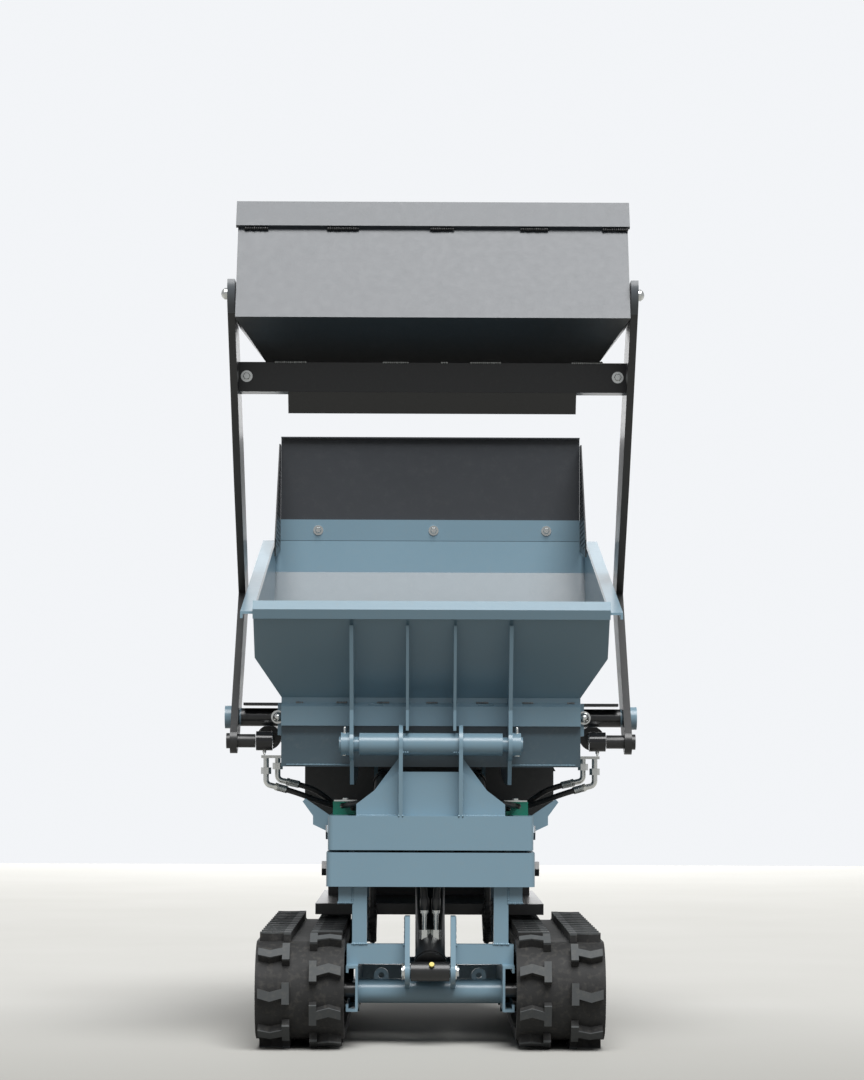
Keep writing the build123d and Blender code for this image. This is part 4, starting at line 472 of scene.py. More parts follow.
soft = add(weld_tree, "GeometryNodeSetShadeSmooth", None, {"Geometry": drops.outputs["Instances"]})
close_group(weld_tree, given, soft.outputs["Geometry"])


DROP_SPACING = 0.7           # of the bead's width


def weld(name, runs, width, material, body):
    """A bead along each straight run (from, to), given in millimetres from the ground under the middle."""
    points = [tuple(value / 1000 for value in point) for ends in runs for point in ends]
    mesh = bpy.data.meshes.new(name)
    mesh.from_pydata(points, [(i, i + 1) for i in range(0, len(points), 2)], [])
    return grow(name, mesh, weld_tree, {"Pitch": width * DROP_SPACING / 1000, "Width": width / 1000,
                                        "Seed": 7}, material, body)


def both(runs):
    """Runs or places on the right side and their mirror images on the left."""
    def flip(item):
        if isinstance(item[0], (int, float)):
            return (-item[0], *item[1:])
        return tuple(flip(part) for part in item)
    return [*runs, *(flip(item) for item in runs)]


weld("chassis_welds", both([
    ((161, -560, 293), (190, -560, 293)), ((161, -560, 293), (161, -560, 326)),
    ((131, -560, 209), (161, -560, 209)), ((161, -520, 293), (190, -520, 293)),
    ((52, -520, 209), (52, -520, 262)), ((54, -560, 206), (54, -520, 206)),
]), 5.0, blue_grey, "chassis")

# A hexagon bolt head with its chamfer on a washer, set on each point of a mesh.
bolt_tree, given = node_group(
    "hex_bolt", {"Across flats": "NodeSocketFloat", "Axis": "NodeSocketVector"})
corner = add(bolt_tree, "ShaderNodeMath", {1: 3 ** -0.5}, {0: given["Across flats"]},
             operation="MULTIPLY").outputs[0]
tall = add(bolt_tree, "ShaderNodeMath", {1: 0.36}, {0: given["Across flats"]},
           operation="MULTIPLY").outputs[0]
thin = add(bolt_tree, "ShaderNodeMath", {1: 0.12}, {0: given["Across flats"]},
           operation="MULTIPLY").outputs[0]
wide = add(bolt_tree, "ShaderNodeMath", {1: 0.9}, {0: given["Across flats"]},
           operation="MULTIPLY").outputs[0]
narrow = add(bolt_tree, "ShaderNodeMath", {1: 0.84}, {0: corner}, operation="MULTIPLY").outputs[0]
prism = add(bolt_tree, "GeometryNodeMeshCylinder", {"Vertices": 6}, {"Radius": corner, "Depth": tall})
crown = add(bolt_tree, "GeometryNodeMeshCone", {"Vertices": 6},
            {"Radius Bottom": corner, "Radius Top": narrow, "Depth": thin})
washer = add(bolt_tree, "GeometryNodeMeshCylinder", {"Vertices": 24}, {"Radius": wide, "Depth": thin})
half_tall = add(bolt_tree, "ShaderNodeMath", {1: 0.18}, {0: given["Across flats"]},
                operation="MULTIPLY").outputs[0]
prism_up = add(bolt_tree, "ShaderNodeCombineXYZ", None, {"Z": half_tall})
crown_up = add(bolt_tree, "ShaderNodeCombineXYZ", None, {"Z": tall})
prism_set = add(bolt_tree, "GeometryNodeTransform", None,
                {"Geometry": prism.outputs["Mesh"], "Translation": prism_up.outputs[0]})
crown_set = add(bolt_tree, "GeometryNodeTransform", None,
                {"Geometry": crown.outputs["Mesh"], "Translation": crown_up.outputs[0]})
head = add(bolt_tree, "GeometryNodeJoinGeometry")
for source in (washer.outputs["Mesh"], prism_set.outputs["Geometry"], crown_set.outputs["Geometry"]):
    bolt_tree.links.new(source, head.inputs["Geometry"])
turn_to = add(bolt_tree, "FunctionNodeAlignRotationToVector", None, {"Vector": given["Axis"]}, axis="Z")
bolts = add(bolt_tree, "GeometryNodeInstanceOnPoints", None,
            {"Points": given["Geometry"], "Instance": head.outputs["Geometry"],
             "Rotation": turn_to.outputs["Rotation"]})
close_group(bolt_tree, given, bolts.outputs["Instances"])


def bolt_heads(name, places, across, axis, material, body):
    """Bolt heads of a size across their flats, at places, all in millimetres."""
    mesh = bpy.data.meshes.new(name)
    mesh.from_pydata([tuple(value / 1000 for value in place) for place in places], [], [])
    return grow(name, mesh, bolt_tree, {"Across flats": across / 1000, "Axis": axis}, material, body)


def metal(name, colour, roughness, mark=6.25, bump_height=0.00015, zone=None, zone_colour="1b1c1e"):
    """Plated or ground metal: a faint change of tone and short tool marks.  A zone of it may be painted."""
    material, tree, shader = new_material(name)
    place = add(tree, "ShaderNodeTexCoord").outputs["Object"]
    slow = add(tree, "ShaderNodeTexNoise", {"Scale": repeats(33.333), "Detail": 4.0}, {"Vector": place})
    tone = add(tree, "ShaderNodeHueSaturation", {"Color": linear(colour)})
    value = add(tree, "ShaderNodeMapRange", {"To Min": 0.88, "To Max": 1.08},
                {"Value": slow.outputs["Fac"]})
    tree.links.new(value.outputs["Result"], tone.inputs["Value"])
    fine = add(tree, "ShaderNodeTexNoise", {"Scale": repeats(mark), "Detail": 3.0}, {"Vector": place})
    rough = add(tree, "ShaderNodeMapRange", {"To Min": roughness * 0.8, "To Max": roughness * 1.25},
                {"Value": fine.outputs["Fac"]})
    bump = add(tree, "ShaderNodeBump", {"Strength": 0.2, "Distance": bump_height},
               {"Height": fine.outputs["Fac"]})
    tree.links.new(two_tone(tree, place, tone.outputs["Color"], zone, zone_colour),
                   shader.inputs["Base Color"])
    tree.links.new(rough.outputs["Result"], shader.inputs["Roughness"])
    tree.links.new(bump.outputs["Normal"], shader.inputs["Normal"])
    if zone is None:
        shader.inputs["Metallic"].default_value = 1.0
    else:
        bare = add(tree, "ShaderNodeMath", {0: 1.0}, {1: zone(tree, place)}, operation="SUBTRACT")
        tree.links.new(bare.outputs[0], shader.inputs["Metallic"])
    return material


# Bright zinc plate: pale silver with soft, slightly broken reflections.
zinc = metal("bright_zinc_plate", "d6d8d6", 0.26)


def turned(mesh, start, axis, profile, sides=24):
    """Adds a closed turned shape to a bmesh; start and profile (distance, radius) are in millimetres."""
    axis = Vector(axis).normalized()
    side = axis.orthogonal().normalized()
    up = axis.cross(side)
    rings = []
    for along, radius in profile:
        rings.append([
            mesh.verts.new((Vector(start) + axis * along
                            + (side * math.cos(turn) + up * math.sin(turn)) * radius) / 1000)
            for turn in (math.tau * k / sides for k in range(sides))])
    for low, high in zip(rings, rings[1:]):
        for k in range(sides):
            mesh.faces.new((low[k], low[(k + 1) % sides], high[(k + 1) % sides], high[k]))
    mesh.faces.new(list(reversed(rings[0])))
    mesh.faces.new(rings[-1])


def finished(name, mesh, material, body):
    """Ends a bmesh: normals out, edges over 35 degrees sharp, and riding on a body."""
    bmesh.ops.recalc_face_normals(mesh, faces=mesh.faces)
    for face in mesh.faces:
        face.smooth = True
    data = bpy.data.meshes.new(name)
    mesh.to_mesh(data)
    mesh.free()
    data.set_sharp_from_angle(angle=math.radians(35.0))
    data.materials.append(material)
    made = bpy.data.objects.new(name, data)
    bpy.context.collection.objects.link(made)
    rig.ride(made, body)
    return made


# The lift cylinder's pin is bare: washers outside its ears, and a split pin through its left end.
LIFT_PIN = (-580.0, 154.0)
mesh = bmesh.new()
for side in (-1, 1):
    turned(mesh, (side * 52, *LIFT_PIN), (side, 0, 0), [(0, 17), (2.5, 17)])
    turned(mesh, (side * 54, *LIFT_PIN), (side, 0, 0), [(0, 10.6), (4.6, 10.6), (5.4, 9.6)])
turned(mesh, (-57, LIFT_PIN[0], LIFT_PIN[1] - 17), (0, 0, 1), [(0, 1.6), (34, 1.6)], 8)
finished("lift_pin_ends", mesh, zinc, "chassis")

# ---- Lift cylinder and its hoses -----------------------------------------------------------------------
# A bought-in hydraulic cylinder: black enamelled barrel, ground hard-chrome rod with a black eye.  Two
# rubber hoses rise from the banjo fittings on top of it, turn back and drop to the engine deck.


ROD_EYE = 21.5


def near_pin(y, z, radius=ROD_EYE):
    """A zone within a radius of a cross pin, in millimetres."""
    def zone(tree, place):
        flat = add(tree, "ShaderNodeVectorMath", {1: (0.0, 1.0, 1.0)}, {0: place}, operation="MULTIPLY")
        gap = add(tree, "ShaderNodeVectorMath", {1: (0.0, y / 1000, z / 1000)}, {0: flat.outputs[0]},
                  operation="DISTANCE")
        return add(tree, "ShaderNodeMath", {1: radius / 1000}, {0: gap.outputs["Value"]},
                   operation="LESS_THAN").outputs[0]
    return zone


dress(black_enamel, "lift_cylinder")
dress(metal("chrome_lift_rod", "d9dbdc", 0.12, zone=near_pin(-164.7, 403.3)), "lift_rod")
dress(zinc, "lift_fittings")
# Hose cover rubber: smooth and half matt, darker than the tracks.
hose_rubber = rubber("hose_cover_rubber", "17181a", "202122", roughness=0.5, dust_amount=0.12)


def spline_of(name, points):
    """A curve object along a hose's points (millimetres), and the points of its smooth line."""
    curve = bpy.data.curves.new(name, "CURVE")
    curve.dimensions = "3D"
    spline = curve.splines.new("NURBS")
    spline.points.add(len(points) - 1)
    for control, point in zip(spline.points, points):
        control.co = (*(value / 1000 for value in point), 1.0)
    spline.order_u = 3
    spline.use_endpoint_u = True
    spline.resolution_u = 8
    made = bpy.data.objects.new(name, curve)
    bpy.context.collection.objects.link(made)
    graph = bpy.context.evaluated_depsgraph_get()
    line = bpy.data.meshes.new_from_object(made.evaluated_get(graph), depsgraph=graph)
    return made, [vertex.co.copy() for vertex in line.vertices]


def hose(name, points, length, radius, ends, lay="loose"):
    """A declared hose; ends are the body it starts on and the one it ends on.  Between two it bends."""
    made, line = spline_of(name, points)
    made.data.bevel_depth = radius / 1000
    made.data.bevel_resolution = 4
    made.data.use_fill_caps = True
    made.data.materials.append(hose_rubber)
    first, last = ends
    if first == last:
        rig.ride(made, first)
        path = None
    else:
        graph = bpy.context.evaluated_depsgraph_get()
        tube = bpy.data.meshes.new_from_object(made.evaluated_get(graph), depsgraph=graph)
        bpy.data.objects.remove(made)
        made = bpy.data.objects.new(name, tube)
        bpy.context.collection.objects.link(made)
        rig.blend(made, last, first, start=line[-1], end=line[0])
        path = line
    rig.cord(made, exit=line[0], length=length / 1000, diameter=radius / 500, far_end="object", lay=lay,
            path=path)
    return made, line


def flipped(side, points):
    """Points on the right side for side 1, and mirrored to the left for -1."""
    return [(side * x, y, z) for x, y, z in points]


STRIP_STEP = 1.5
STRIP_SECTION = ((-1.0, -3.4), (1.3, -3.0), (1.3, 3.0), (-1.0, 3.4))    # (off the hose, along it)


def spiral_wrap(name, line, start, end, radius, pitch, bodies, material):
    """A flat plastic strip wound round a hose from start to end, in millimetres along its line."""
    mesh = bmesh.new()
    distance, last_ring = 0.0, None
    for low, high in zip(line, line[1:]):
        run = high - low
        along = run.normalized()
        steps = max(2, int(run.length * 1000 / STRIP_STEP))
        for step in range(steps):
            here = distance + run.length * 1000 * step / steps
            if not start <= here <= end:
                continue
            upright = abs(along.z) >= 0.9
            reference = Vector((1, 0, 0)) if upright else Vector((0, 0, 1))
            out_zero = (reference - along * along.dot(reference)).normalized()
            out_quarter = along.cross(out_zero)
            turn = math.tau * here / pitch
            out = out_zero * math.cos(turn) + out_quarter * math.sin(turn)
            centre = low + run * step / steps
            ring = [mesh.verts.new(centre + out * (radius + lift) / 1000 + along * shift / 1000)
                    for lift, shift in STRIP_SECTION]
            if last_ring:
                for k in range(4):
                    mesh.faces.new((last_ring[k], last_ring[(k + 1) % 4], ring[(k + 1) % 4], ring[k]))
            else:
                mesh.faces.new(ring)
            last_ring = ring
        distance += run.length * 1000
    mesh.faces.new(list(reversed(last_ring)))
    bmesh.ops.recalc_face_normals(mesh, faces=mesh.faces)
    data = bpy.data.meshes.new(name)
    mesh.to_mesh(data)
    mesh.free()
    data.materials.append(material)
    made = bpy.data.objects.new(name, data)
    bpy.context.collection.objects.link(made)
    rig.blend(made, bodies[1], bodies[0], start=line[-1], end=line[0])
    return made


# Black polyethylene strip: satin, with almost no dust on it.
black_plastic = rubber("moulded_black_plastic", "151516", "1c1c1d", roughness=0.42, dust_amount=0.08)
LIFT_HOSE = [
    (12, -516, 278), (12, -516, 347), (44, -483, 393), (89, -437, 393), (121.5, -405, 350),
    (121.5, -398, 262), (122, -340, 205), (122, -240, 200), (122, -150, 230), (122, -90, 255)]
LIFT_HOSE_LENGTH, LIFT_HOSE_RADIUS = 672, 7.0
LIFT_HOSE_ENDS = ("lift_barrel", "chassis")
WRAP_FROM, WRAP_TO, WRAP_RADIUS, WRAP_PITCH = 300, 470, 7.4, 11.0
for side, label in ((-1, "left"), (1, "right")):
    made, line = hose(f"lift_hose_run_{label}", flipped(side, LIFT_HOSE), LIFT_HOSE_LENGTH,
                      LIFT_HOSE_RADIUS, LIFT_HOSE_ENDS)
    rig.replaces(made, f"lift_hose_{label}")
    spiral_wrap(f"lift_hose_wrap_{label}", line, WRAP_FROM, WRAP_TO, WRAP_RADIUS, WRAP_PITCH,
                LIFT_HOSE_ENDS, black_plastic)
mesh = bmesh.new()
for side in (-1, 1):
    turned(mesh, (side * 12, -516, 276), (0, 0, 1), [(0, 8.4), (2, 9.6), (22, 9.6), (26, 8.6)])
finished("lift_hose_sleeves", mesh, black_enamel, "lift_barrel")
weld("lift_barrel_welds", [((-22, -561, 178), (22, -561, 178))], 5.0, black_enamel, "lift_barrel")
yellow_paint = enamel("yellow_paint_mark", "d8c21e", "cfb81a", dust=0.05)
mesh = bmesh.new()
turned(mesh, (3, -602, 170), (0, -0.8, 0.6), [(-2, 6), (1.0, 5.4)], 9)
finished("inspection_mark", mesh, yellow_paint, "lift_barrel")

# ---- Scissor frames and arms ---------------------------------------------------------------------------
# Two folded frames with channels for the rollers, and four flat arms between them.  The pins' hexagon
# heads outside the frames are black.
PIN_HEAD_X = 215.5


def beyond_x(low, high=9999.0):
    """A zone between two distances from the middle plane, in millimetres."""
    def zone(tree, place):
        axes = add(tree, "ShaderNodeSeparateXYZ", None, {"Vector": place})
        across = add(tree, "ShaderNodeMath", None, {0: axes.outputs["X"]}, operation="ABSOLUTE")
        over = add(tree, "ShaderNodeMath", {1: low / 1000}, {0: across.outputs[0]},
                   operation="GREATER_THAN")
        under = add(tree, "ShaderNodeMath", {1: high / 1000}, {0: across.outputs[0]}, operation="LESS_THAN")
        return add(tree, "ShaderNodeMath", None, {0: over.outputs[0], 1: under.outputs[0]},
                   operation="MULTIPLY").outputs[0]
    return zone


frame_enamel = enamel("blue_grey_enamel_frames", PAINT, PAINT_FADE, roughness=0.3,
                      zone=beyond_x(PIN_HEAD_X))
dress(frame_enamel, "scissor_base", "deck_frame")
dress(blue_grey, "scissor_outer_arms", "scissor_inner_arms")

# ---- Skip hinge on the deck ----------------------------------------------------------------------------
# A cross plate, two ears and two gussets, all laser-cut and welded to the deck's front beam, with the
# hinge tube through the ears.
dress(blue_grey, "hinge_bracket", "deck_lugs")
weld("deck_welds", both([
    ((66, -580, 472.5), (66, -530, 472.5)), ((58, -580, 472.5), (58, -530, 472.5)),
    ((67, -556, 472.5), (152, -556, 472.5)), ((-152, -556, 472.5), (-60, -556, 472.5)),
    ((66, -562, 492), (66, -562, 560)), ((67, -538, 476), (67, -538, 570)),
    ((48, -577, 603), (57, -577, 603)),
]), 4.5, blue_grey, "deck")

# ---- Deck hoses ----------------------------------------------------------------------------------------
# Two rubber hoses a side run from the valve block behind the cross plate through a green plastic clamp to
# the port block on the deck's channel.
# Green polypropylene: an even colour with a dull moulded sheen.
green_plastic = rubber("moulded_green_polypropylene", "1c8a70", "239a7e", roughness=0.45, dust_amount=0.15)
dress(green_plastic, "hose_clamps")
dress(metal("dull_zinc_blocks", "a9aba8", 0.4), "hose_ports")
DECK_HOSES = {
    "rod": ([(48, -522, 488), (112, -521, 487), (166, -460, 486), (166, -310, 486)], 289),
    "barrel": ([(48, -522, 504), (126, -520, 501), (192, -450, 490), (192, -310, 486)], 307)}
for end, (points, length) in DECK_HOSES.items():
    for side, label in ((-1, "left"), (1, "right")):
        made, line = hose(f"deck_hose_run_{end}_{label}", flipped(side, points), length, 6.0,
                          ("deck", "deck"))
        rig.replaces(made, f"deck_hose_{end}_{label}")
mesh = bmesh.new()
for side in (-1, 1):
    for x, z in ((48, 488), (48, 504)):
        turned(mesh, (side * x, -522, z), (side, 0, 0), [(0, 8.5), (5, 8.5), (6, 7.6), (24, 7.6)])
    for x in (166, 192):
        turned(mesh, (side * x, -310, 486), (0, -1, 0), [(0, 8.5), (5, 8.5), (6, 7.6), (24, 7.6)])
finished("deck_hose_sleeves", mesh, zinc, "deck")
mesh = bmesh.new()
CLAMP_TOP = 500.0
for side in (-1, 1):
    corners = [(side * x, y) for x, y in ((155, -446), (203, -446), (203, -420), (155, -420))]
    low = [mesh.verts.new((x / 1000, y / 1000, CLAMP_TOP / 1000)) for x, y in corners]
    high = [mesh.verts.new((x / 1000, y / 1000, (CLAMP_TOP + 3) / 1000)) for x, y in corners]
    mesh.faces.new(low)
    mesh.faces.new(high)
    for k in range(4):
        mesh.faces.new((low[k], low[(k + 1) % 4], high[(k + 1) % 4], high[k]))
finished("hose_clamp_plates", mesh, zinc, "deck")
bolt_heads("hose_clamp_bolts", both([(179, -433, 503)]), 10.0, (0, 0, 1), zinc, "deck")

# ---- Tip cylinders -------------------------------------------------------------------------------------
# The pair under the skip: black barrels, chromed rods, eyes pinned between the lugs.
dress(black_enamel, "tip_cylinder_left", "tip_cylinder_right")
dress(metal("chrome_tip_rods", "d9dbdc", 0.12, zone=near_pin(40, 545)), "tip_rod_left", "tip_rod_right")

# ---- Skip ----------------------------------------------------------------------------------------------
# A tub folded and welded from 4 mm sheet, with a rolled lip, a pressed stiffener and hinge plates.
def painted_tub_shade(tree, place):
    """Painted shade: the tub's faces that look up, which its front wall shades, and its front below the stiffener,
    shaded by the skip's overhang.
    """
    facing = add(tree, "ShaderNodeTexCoord").outputs["Normal"]
    upward = add(tree, "ShaderNodeSeparateXYZ", None, {"Vector": facing})
    ragged = add(tree, "ShaderNodeTexNoise", {"Scale": repeats(111.1), "Detail": 5.0}, {"Vector": place})
    edge = add(tree, "ShaderNodeMath", {1: 0.12, 2: 0.22}, {0: ragged.outputs["Fac"]},
               operation="MULTIPLY_ADD")
    looks_up = add(tree, "ShaderNodeMath", None, {0: upward.outputs["Z"], 1: edge.outputs[0]},
                   operation="GREATER_THAN")
    axes = add(tree, "ShaderNodeSeparateXYZ", None, {"Vector": place})
    in_front = add(tree, "ShaderNodeMath", {1: -0.5}, {0: axes.outputs["Y"]}, operation="LESS_THAN")
    low = add(tree, "ShaderNodeMath", {1: 0.7}, {0: axes.outputs["Z"]}, operation="LESS_THAN")
    low_front = add(tree, "ShaderNodeMath", None, {0: in_front.outputs[0], 1: low.outputs[0]},
                    operation="MULTIPLY")
    return add(tree, "ShaderNodeMath", None, {0: looks_up.outputs[0], 1: low_front.outputs[0]},
               operation="MAXIMUM").outputs[0]


dress(blue_grey, "skip_rim", "skip_ribs", "hinge_pin")
# The tub's blue-grey paint, darkened as painted shade on its up-facing faces and on its front below the stiffener.
dress(enamel("blue_grey_enamel_tub", PAINT, PAINT_FADE, roughness=0.3, zone=painted_tub_shade, zone_colour="4f646f"),
      "skip_tub")

# The trim with its lip drawn as it is folded: a slope up to the edge, and a face tucked back under it.
LIP_FOLD = [(-684, 893), (-678, 911), (-662, 911), (-662, 874), (-677, 874)]
mesh = bmesh.new()
mesh.from_mesh(frame["nodes"]["skip_trim"].data)
bmesh.ops.remove_doubles(mesh, verts=mesh.verts, dist=0.00001)
old_lip = [v for v in mesh.verts if v.co.y < -0.64 and v.co.z > 0.86]
bmesh.ops.delete(mesh, geom=old_lip, context="VERTS")
ends = [[mesh.verts.new((x, y / 1000, z / 1000)) for y, z in LIP_FOLD] for x in (-0.365, 0.365)]
mesh.faces.new(ends[0])
mesh.faces.new(ends[1])
for k in range(len(LIP_FOLD)):
    mesh.faces.new((ends[0][k - 1], ends[0][k], ends[1][k], ends[1][k - 1]))
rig.replaces(finished("folded_trim", mesh, blue_grey, "skip"), "skip_trim")
# Bare weld metal: grey with a rough, uneven glint, left unpainted along the stitches.
bare_weld = metal("bare_weld_metal", "8d8f8f", 0.42)
weld("stiffener_stitches", [
    ((x - half, -512, 706.5), (x + half, -512, 706.5)) for x, half in
    ((-274, 6), (-186, 9), (-100, 11), (2, 10), (107, 11), (202, 10), (292, 6))], 4.5, bare_weld, "skip")

# A bolt through each collar of the hinge tube keeps the pin from turning.
STUD = [(0, 6.5), (6, 6.5), (6, 3.4), (16, 3.4), (17.5, 2.4)]
mesh = bmesh.new()
for side in (-1, 1):
    turned(mesh, (side * 178, -562, 602), (0, 0, -1), [(0, 6.5), (5.5, 6.5), (6.5, 5.6)], 6)
    turned(mesh, (side * 178, -562, 638), (0, 0, 1), STUD, 12)
finished("hinge_bolts", mesh, zinc, "skip")
rib_welds = [((x, -512, 708), (x, -518, 715)) for x in (46, 52, 160, 168)]
weld("skip_welds", both([
    *rib_welds, ((166, -640, 866), (172, -640, 866)), ((50, -640, 866), (54, -640, 866)),
    ((170, -511, 577), (300, -511, 577)), ((100, -520, 702), (130, -520, 702)),
]), 4.0, blue_grey, "skip")
bolt_heads("guard_strip_bolts", [(-262, 285.5, 1122), (8, 285.5, 1122), (272, 285.5, 1122)], 13.0,
           (0, -1, 0), zinc, "skip")

# ---- Spill guard ---------------------------------------------------------------------------------------
# A black sheet with a rolled hem, bolted behind the skip between two perforated wings: round 8 mm holes
# punched on a staggered 13 mm pitch.
dress(enamel("charcoal_enamel", "36393d", "414449", dust=0.05), "guard_panel")
HOLE, HOLE_PITCH, HOLE_EDGE, WING_SHEET = 8.0, 13.0, 13.0, 3.0
wing_tree, given = node_group("perforations", {"Holes": "NodeSocketObject", "Diameter": "NodeSocketFloat"})
half_hole = add(wing_tree, "ShaderNodeMath", {1: 0.5}, {0: given["Diameter"]},
                operation="MULTIPLY").outputs[0]
punch = add(wing_tree, "GeometryNodeMeshCylinder", {"Vertices": 10, "Depth": 0.02}, {"Radius": half_hole})
laid = add(wing_tree, "GeometryNodeTransform", {"Rotation": (0.0, math.pi / 2, 0.0)},
           {"Geometry": punch.outputs["Mesh"]})
spots = add(wing_tree, "GeometryNodeObjectInfo", None, {"Object": given["Holes"]})
punches = add(wing_tree, "GeometryNodeInstanceOnPoints", None,
              {"Points": spots.outputs["Geometry"], "Instance": laid.outputs["Geometry"]})
solid = add(wing_tree, "GeometryNodeRealizeInstances", None, {"Geometry": punches.outputs["Instances"]})
pierced = add(wing_tree, "GeometryNodeMeshBoolean", None,
              {"Mesh 1": given["Geometry"], "Mesh 2": solid.outputs["Geometry"]}, operation="DIFFERENCE")
close_group(wing_tree, given, pierced.outputs["Mesh"])

low, high = (Vector(corner) * 1000 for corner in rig.box("guard_wings"))
holes = []
for row in range(40):
    for column in range(40):
        y = low.y + HOLE_EDGE + HOLE_PITCH * (column + 0.5 * (row % 2))
        z = low.z + HOLE_EDGE + HOLE_PITCH * 0.866 * row
        share = (y - low.y) / (high.y - low.y)
        floor_z = low.z + 30 * share
        roof_z = low.z + 40 + (high.z - low.z - 40) * min(1.0, share * 1.17)
        top = min(roof_z - HOLE_EDGE * 1.2, high.z - HOLE_EDGE)
        if y < high.y - HOLE_EDGE and floor_z + HOLE_EDGE < z < top:
            holes += [(side * (high.x - WING_SHEET / 2), y, z) for side in (-1, 1)]
hole_mesh = bpy.data.meshes.new("hole_places")
hole_mesh.from_pydata([tuple(value / 1000 for value in place) for place in holes], [], [])
hole_places = bpy.data.objects.new("hole_places", hole_mesh)
bpy.context.collection.objects.link(hole_places)
sheet_copy = bmesh.new()
sheet_copy.from_mesh(frame["nodes"]["guard_wings"].data)
bmesh.ops.remove_doubles(sheet_copy, verts=sheet_copy.verts, dist=0.00001)
plain_wings = bpy.data.meshes.new("plain_wings")
sheet_copy.to_mesh(plain_wings)
sheet_copy.free()
wings = grow("perforated_wings", plain_wings, wing_tree, {"Holes": hole_places, "Diameter": HOLE / 1000},
             black_enamel, "skip")
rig.replaces(wings, "guard_wings")
bpy.data.objects.remove(hole_places)

# ---- Loader shafts and skip hoses ----------------------------------------------------------------------
# Pivot tubes welded to the skip's sides: blue-grey plates and collars, black tube between them.  Beside
# them two hoses a side leave zinc-plated elbows and cross over to the deck.
SHAFT_TUBE_FROM, SHAFT_TUBE_TO = 320, 398
shaft_enamel = enamel("blue_grey_enamel_shafts", PAINT, PAINT_FADE, roughness=0.3,
                      zone=beyond_x(SHAFT_TUBE_FROM, SHAFT_TUBE_TO))
dress(shaft_enamel, "loader_shafts")
dress(zinc, "hose_fittings")
SKIP_HOSES = {
    "rod": ([(330, -318, 529), (286, -332, 517), (244, -318, 500), (206, -303, 488)], 136),
    "barrel": ([(306, -302, 539), (264, -311, 530), (230, -301, 512), (206, -288, 491)], 117)}
mesh = bmesh.new()
for end, (points, length) in SKIP_HOSES.items():
    for side, label in ((-1, "left"), (1, "right")):
        made, line = hose(f"skip_hose_run_{end}_{label}", flipped(side, points), length, 6.0,
                          ("skip", "deck"),
                          "hanging")
        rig.replaces(made, f"skip_hose_{end}_{label}")
        start, towards = line[0] * 1000, line[1] - line[0]
        turned(mesh, start, towards, [(-2, 8.8), (4, 8.8)], 6)
        ridges = [(5 + k, 7.4 + 0.7 * (k % 2)) for k in range(20)]
        turned(mesh, start, towards, [(4, 7.4), *ridges, (26, 7.0)])
finished("skip_hose_sleeves", mesh, zinc, "skip")

# A zinc-plated dome nut stands on the front of each pivot tube.
mesh = bmesh.new()
DOME = [(0, 14), (3, 14), (3, 11), (8, 11), (9, 9.5), (13, 8), (16, 5), (17, 1.5)]
for side in (-1, 1):
    turned(mesh, (side * 320, -496, 676), (0, -1, 0), DOME)
finished("pivot_caps", mesh, zinc, "skip")

# ---- Loader --------------------------------------------------------------------------------------------
# Two cranked flame-cut arms and a folded channel between them, in black enamel.  The arms' tips carry the
# shovel's grey paint.


def above_z(height):
    """A zone above a height, in millimetres."""
    def zone(tree, place):
        axes = add(tree, "ShaderNodeSeparateXYZ", None, {"Vector": place})
        return add(tree, "ShaderNodeMath", {1: height / 1000}, {0: axes.outputs["Z"]},
                   operation="GREATER_THAN").outputs[0]
    return zone


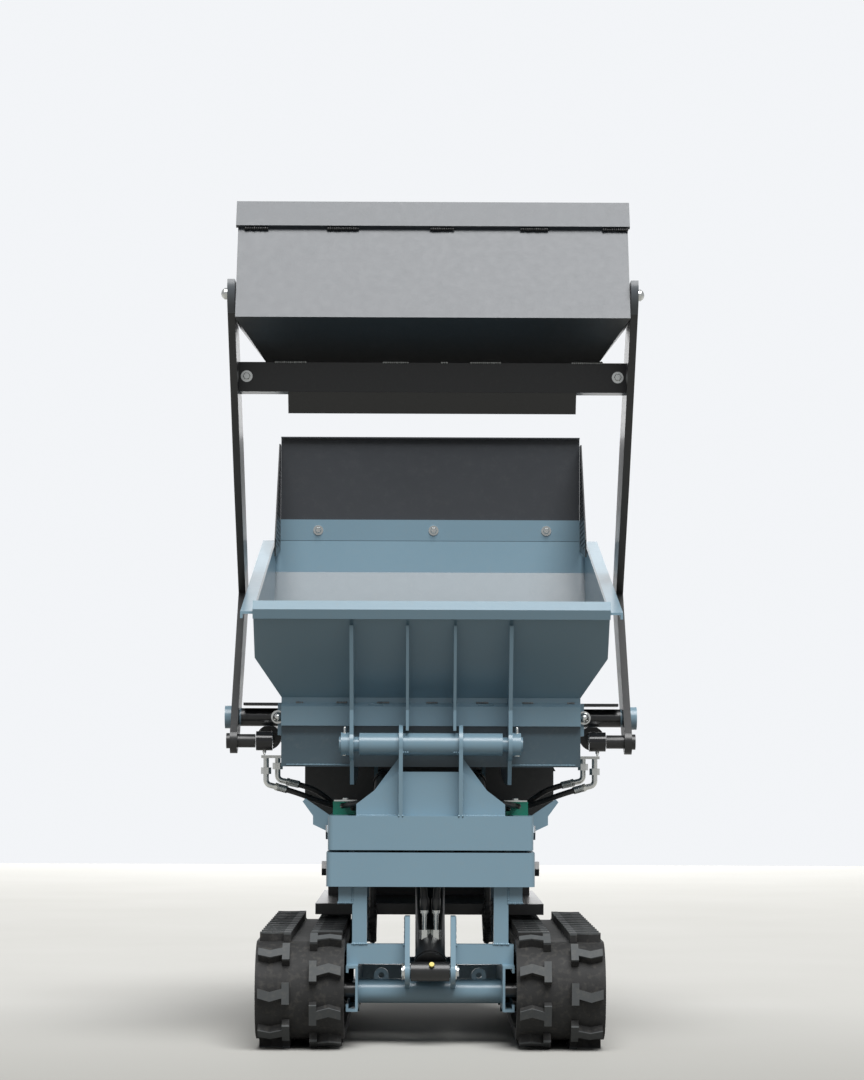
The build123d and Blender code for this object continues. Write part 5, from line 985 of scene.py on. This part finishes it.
ARM_TIPS = 1492.0            # where the arms' grey tips begin
arm_enamel = enamel("black_enamel_arms", "131415", "1a1b1c", dust=0.05, zone=above_z(ARM_TIPS),
                    zone_colour="53585d")
dress(arm_enamel, "loader_arms")
dress(black_enamel, "loader_crossbar", "spout_plate")
for label in ("left", "right"):
    dress(black_enamel, f"loader_cylinder_{label}")
dress(metal("chrome_loader_rods", "d9dbdc", 0.12, zone=near_pin(-529, 626)),
      "loader_rod_left", "loader_rod_right")
for side, label in ((-1, "left"), (1, "right")):
    mesh = bmesh.new()
    turned(mesh, (side * 346, -529, 608), (0, -0.3, -1), [(0, 4), (6, 4), (7, 2.5), (10, 2.5), (12, 1)], 12)
    finished(f"rod_grease_nipple_{label}", mesh, zinc, f"loader_rod_{label}")
bolt_heads("crossbar_bolts", both([(386, -574, 1383)]), 13.5, (0, -1, 0), zinc, "loader")
mesh = bmesh.new()
for side in (-1, 1):
    turned(mesh, (side * 417, -710, 1536), (side, 0, 0),
           [(0, 17), (2, 17), (2, 12), (8, 12), (8.5, 10.8), (11.5, 9), (13.8, 5.5), (14.8, 1.5)])
finished("shovel_pin_nuts", mesh, zinc, "loader")
weld("crossbar_stitches", [
    ((low, -575, 1413.5), (high, -575, 1413.5)) for low, high in
    ((-326, -264), (-101, -51), (20, 30), (81, 141), (292, 352))], 6.0, bare_weld, "loader")

# ---- Shovel --------------------------------------------------------------------------------------------
# Folded sheet with a thick cutting edge stitched under its floor, in grey enamel; below the heel, where the sheet
# faces down, it is painted near-black as painted shade.
# Grey enamel, duller than the rest.
grey_enamel = enamel("worn_grey_enamel", "3f454c", "484e54", roughness=0.4)
SHOVEL_HEEL = 1481.0
# Painted shade: near-black below the heel, the shovel's grey enamel above it.
shovel_enamel = enamel("grey_enamel_with_painted_shade", "111213", "17181a", dust=0.05, zone=above_z(SHOVEL_HEEL),
                       zone_colour="42484f")
dress(shovel_enamel, "shovel")
dress(grey_enamel, "shovel_blade")
weld("blade_stitches", [
    ((low, -689, 1674.5), (high, -689, 1674.5)) for low, high in
    ((-384, -340), (-215, -154), (-4, 41), (181, 234), (350, 398))], 6.0, black_enamel, "loader")

# ---- Engine end ----------------------------------------------------------------------------------------
# A cast engine under a black cowl, the operator's console, handrail and fold-down platform.
# Cast alloy: coarse, matt grey from the sand mould.
casting = metal("cast_engine_alloy", "8d8d8c", 0.55, mark=3.846, bump_height=0.0006)
dress(casting, "engine_block")
dress(black_enamel, "engine_deck", "engine_cowl", "engine_door", "control_console", "handlebar",
      "operator_platform")
dress(black_plastic, "control_levers")

# ---- Finish --------------------------------------------------------------------------------------------
with open("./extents.json", "w") as f:
    json.dump({"cad": [list(c) for c in cad_box], "scene": [list(c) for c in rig.bounds()]}, f)
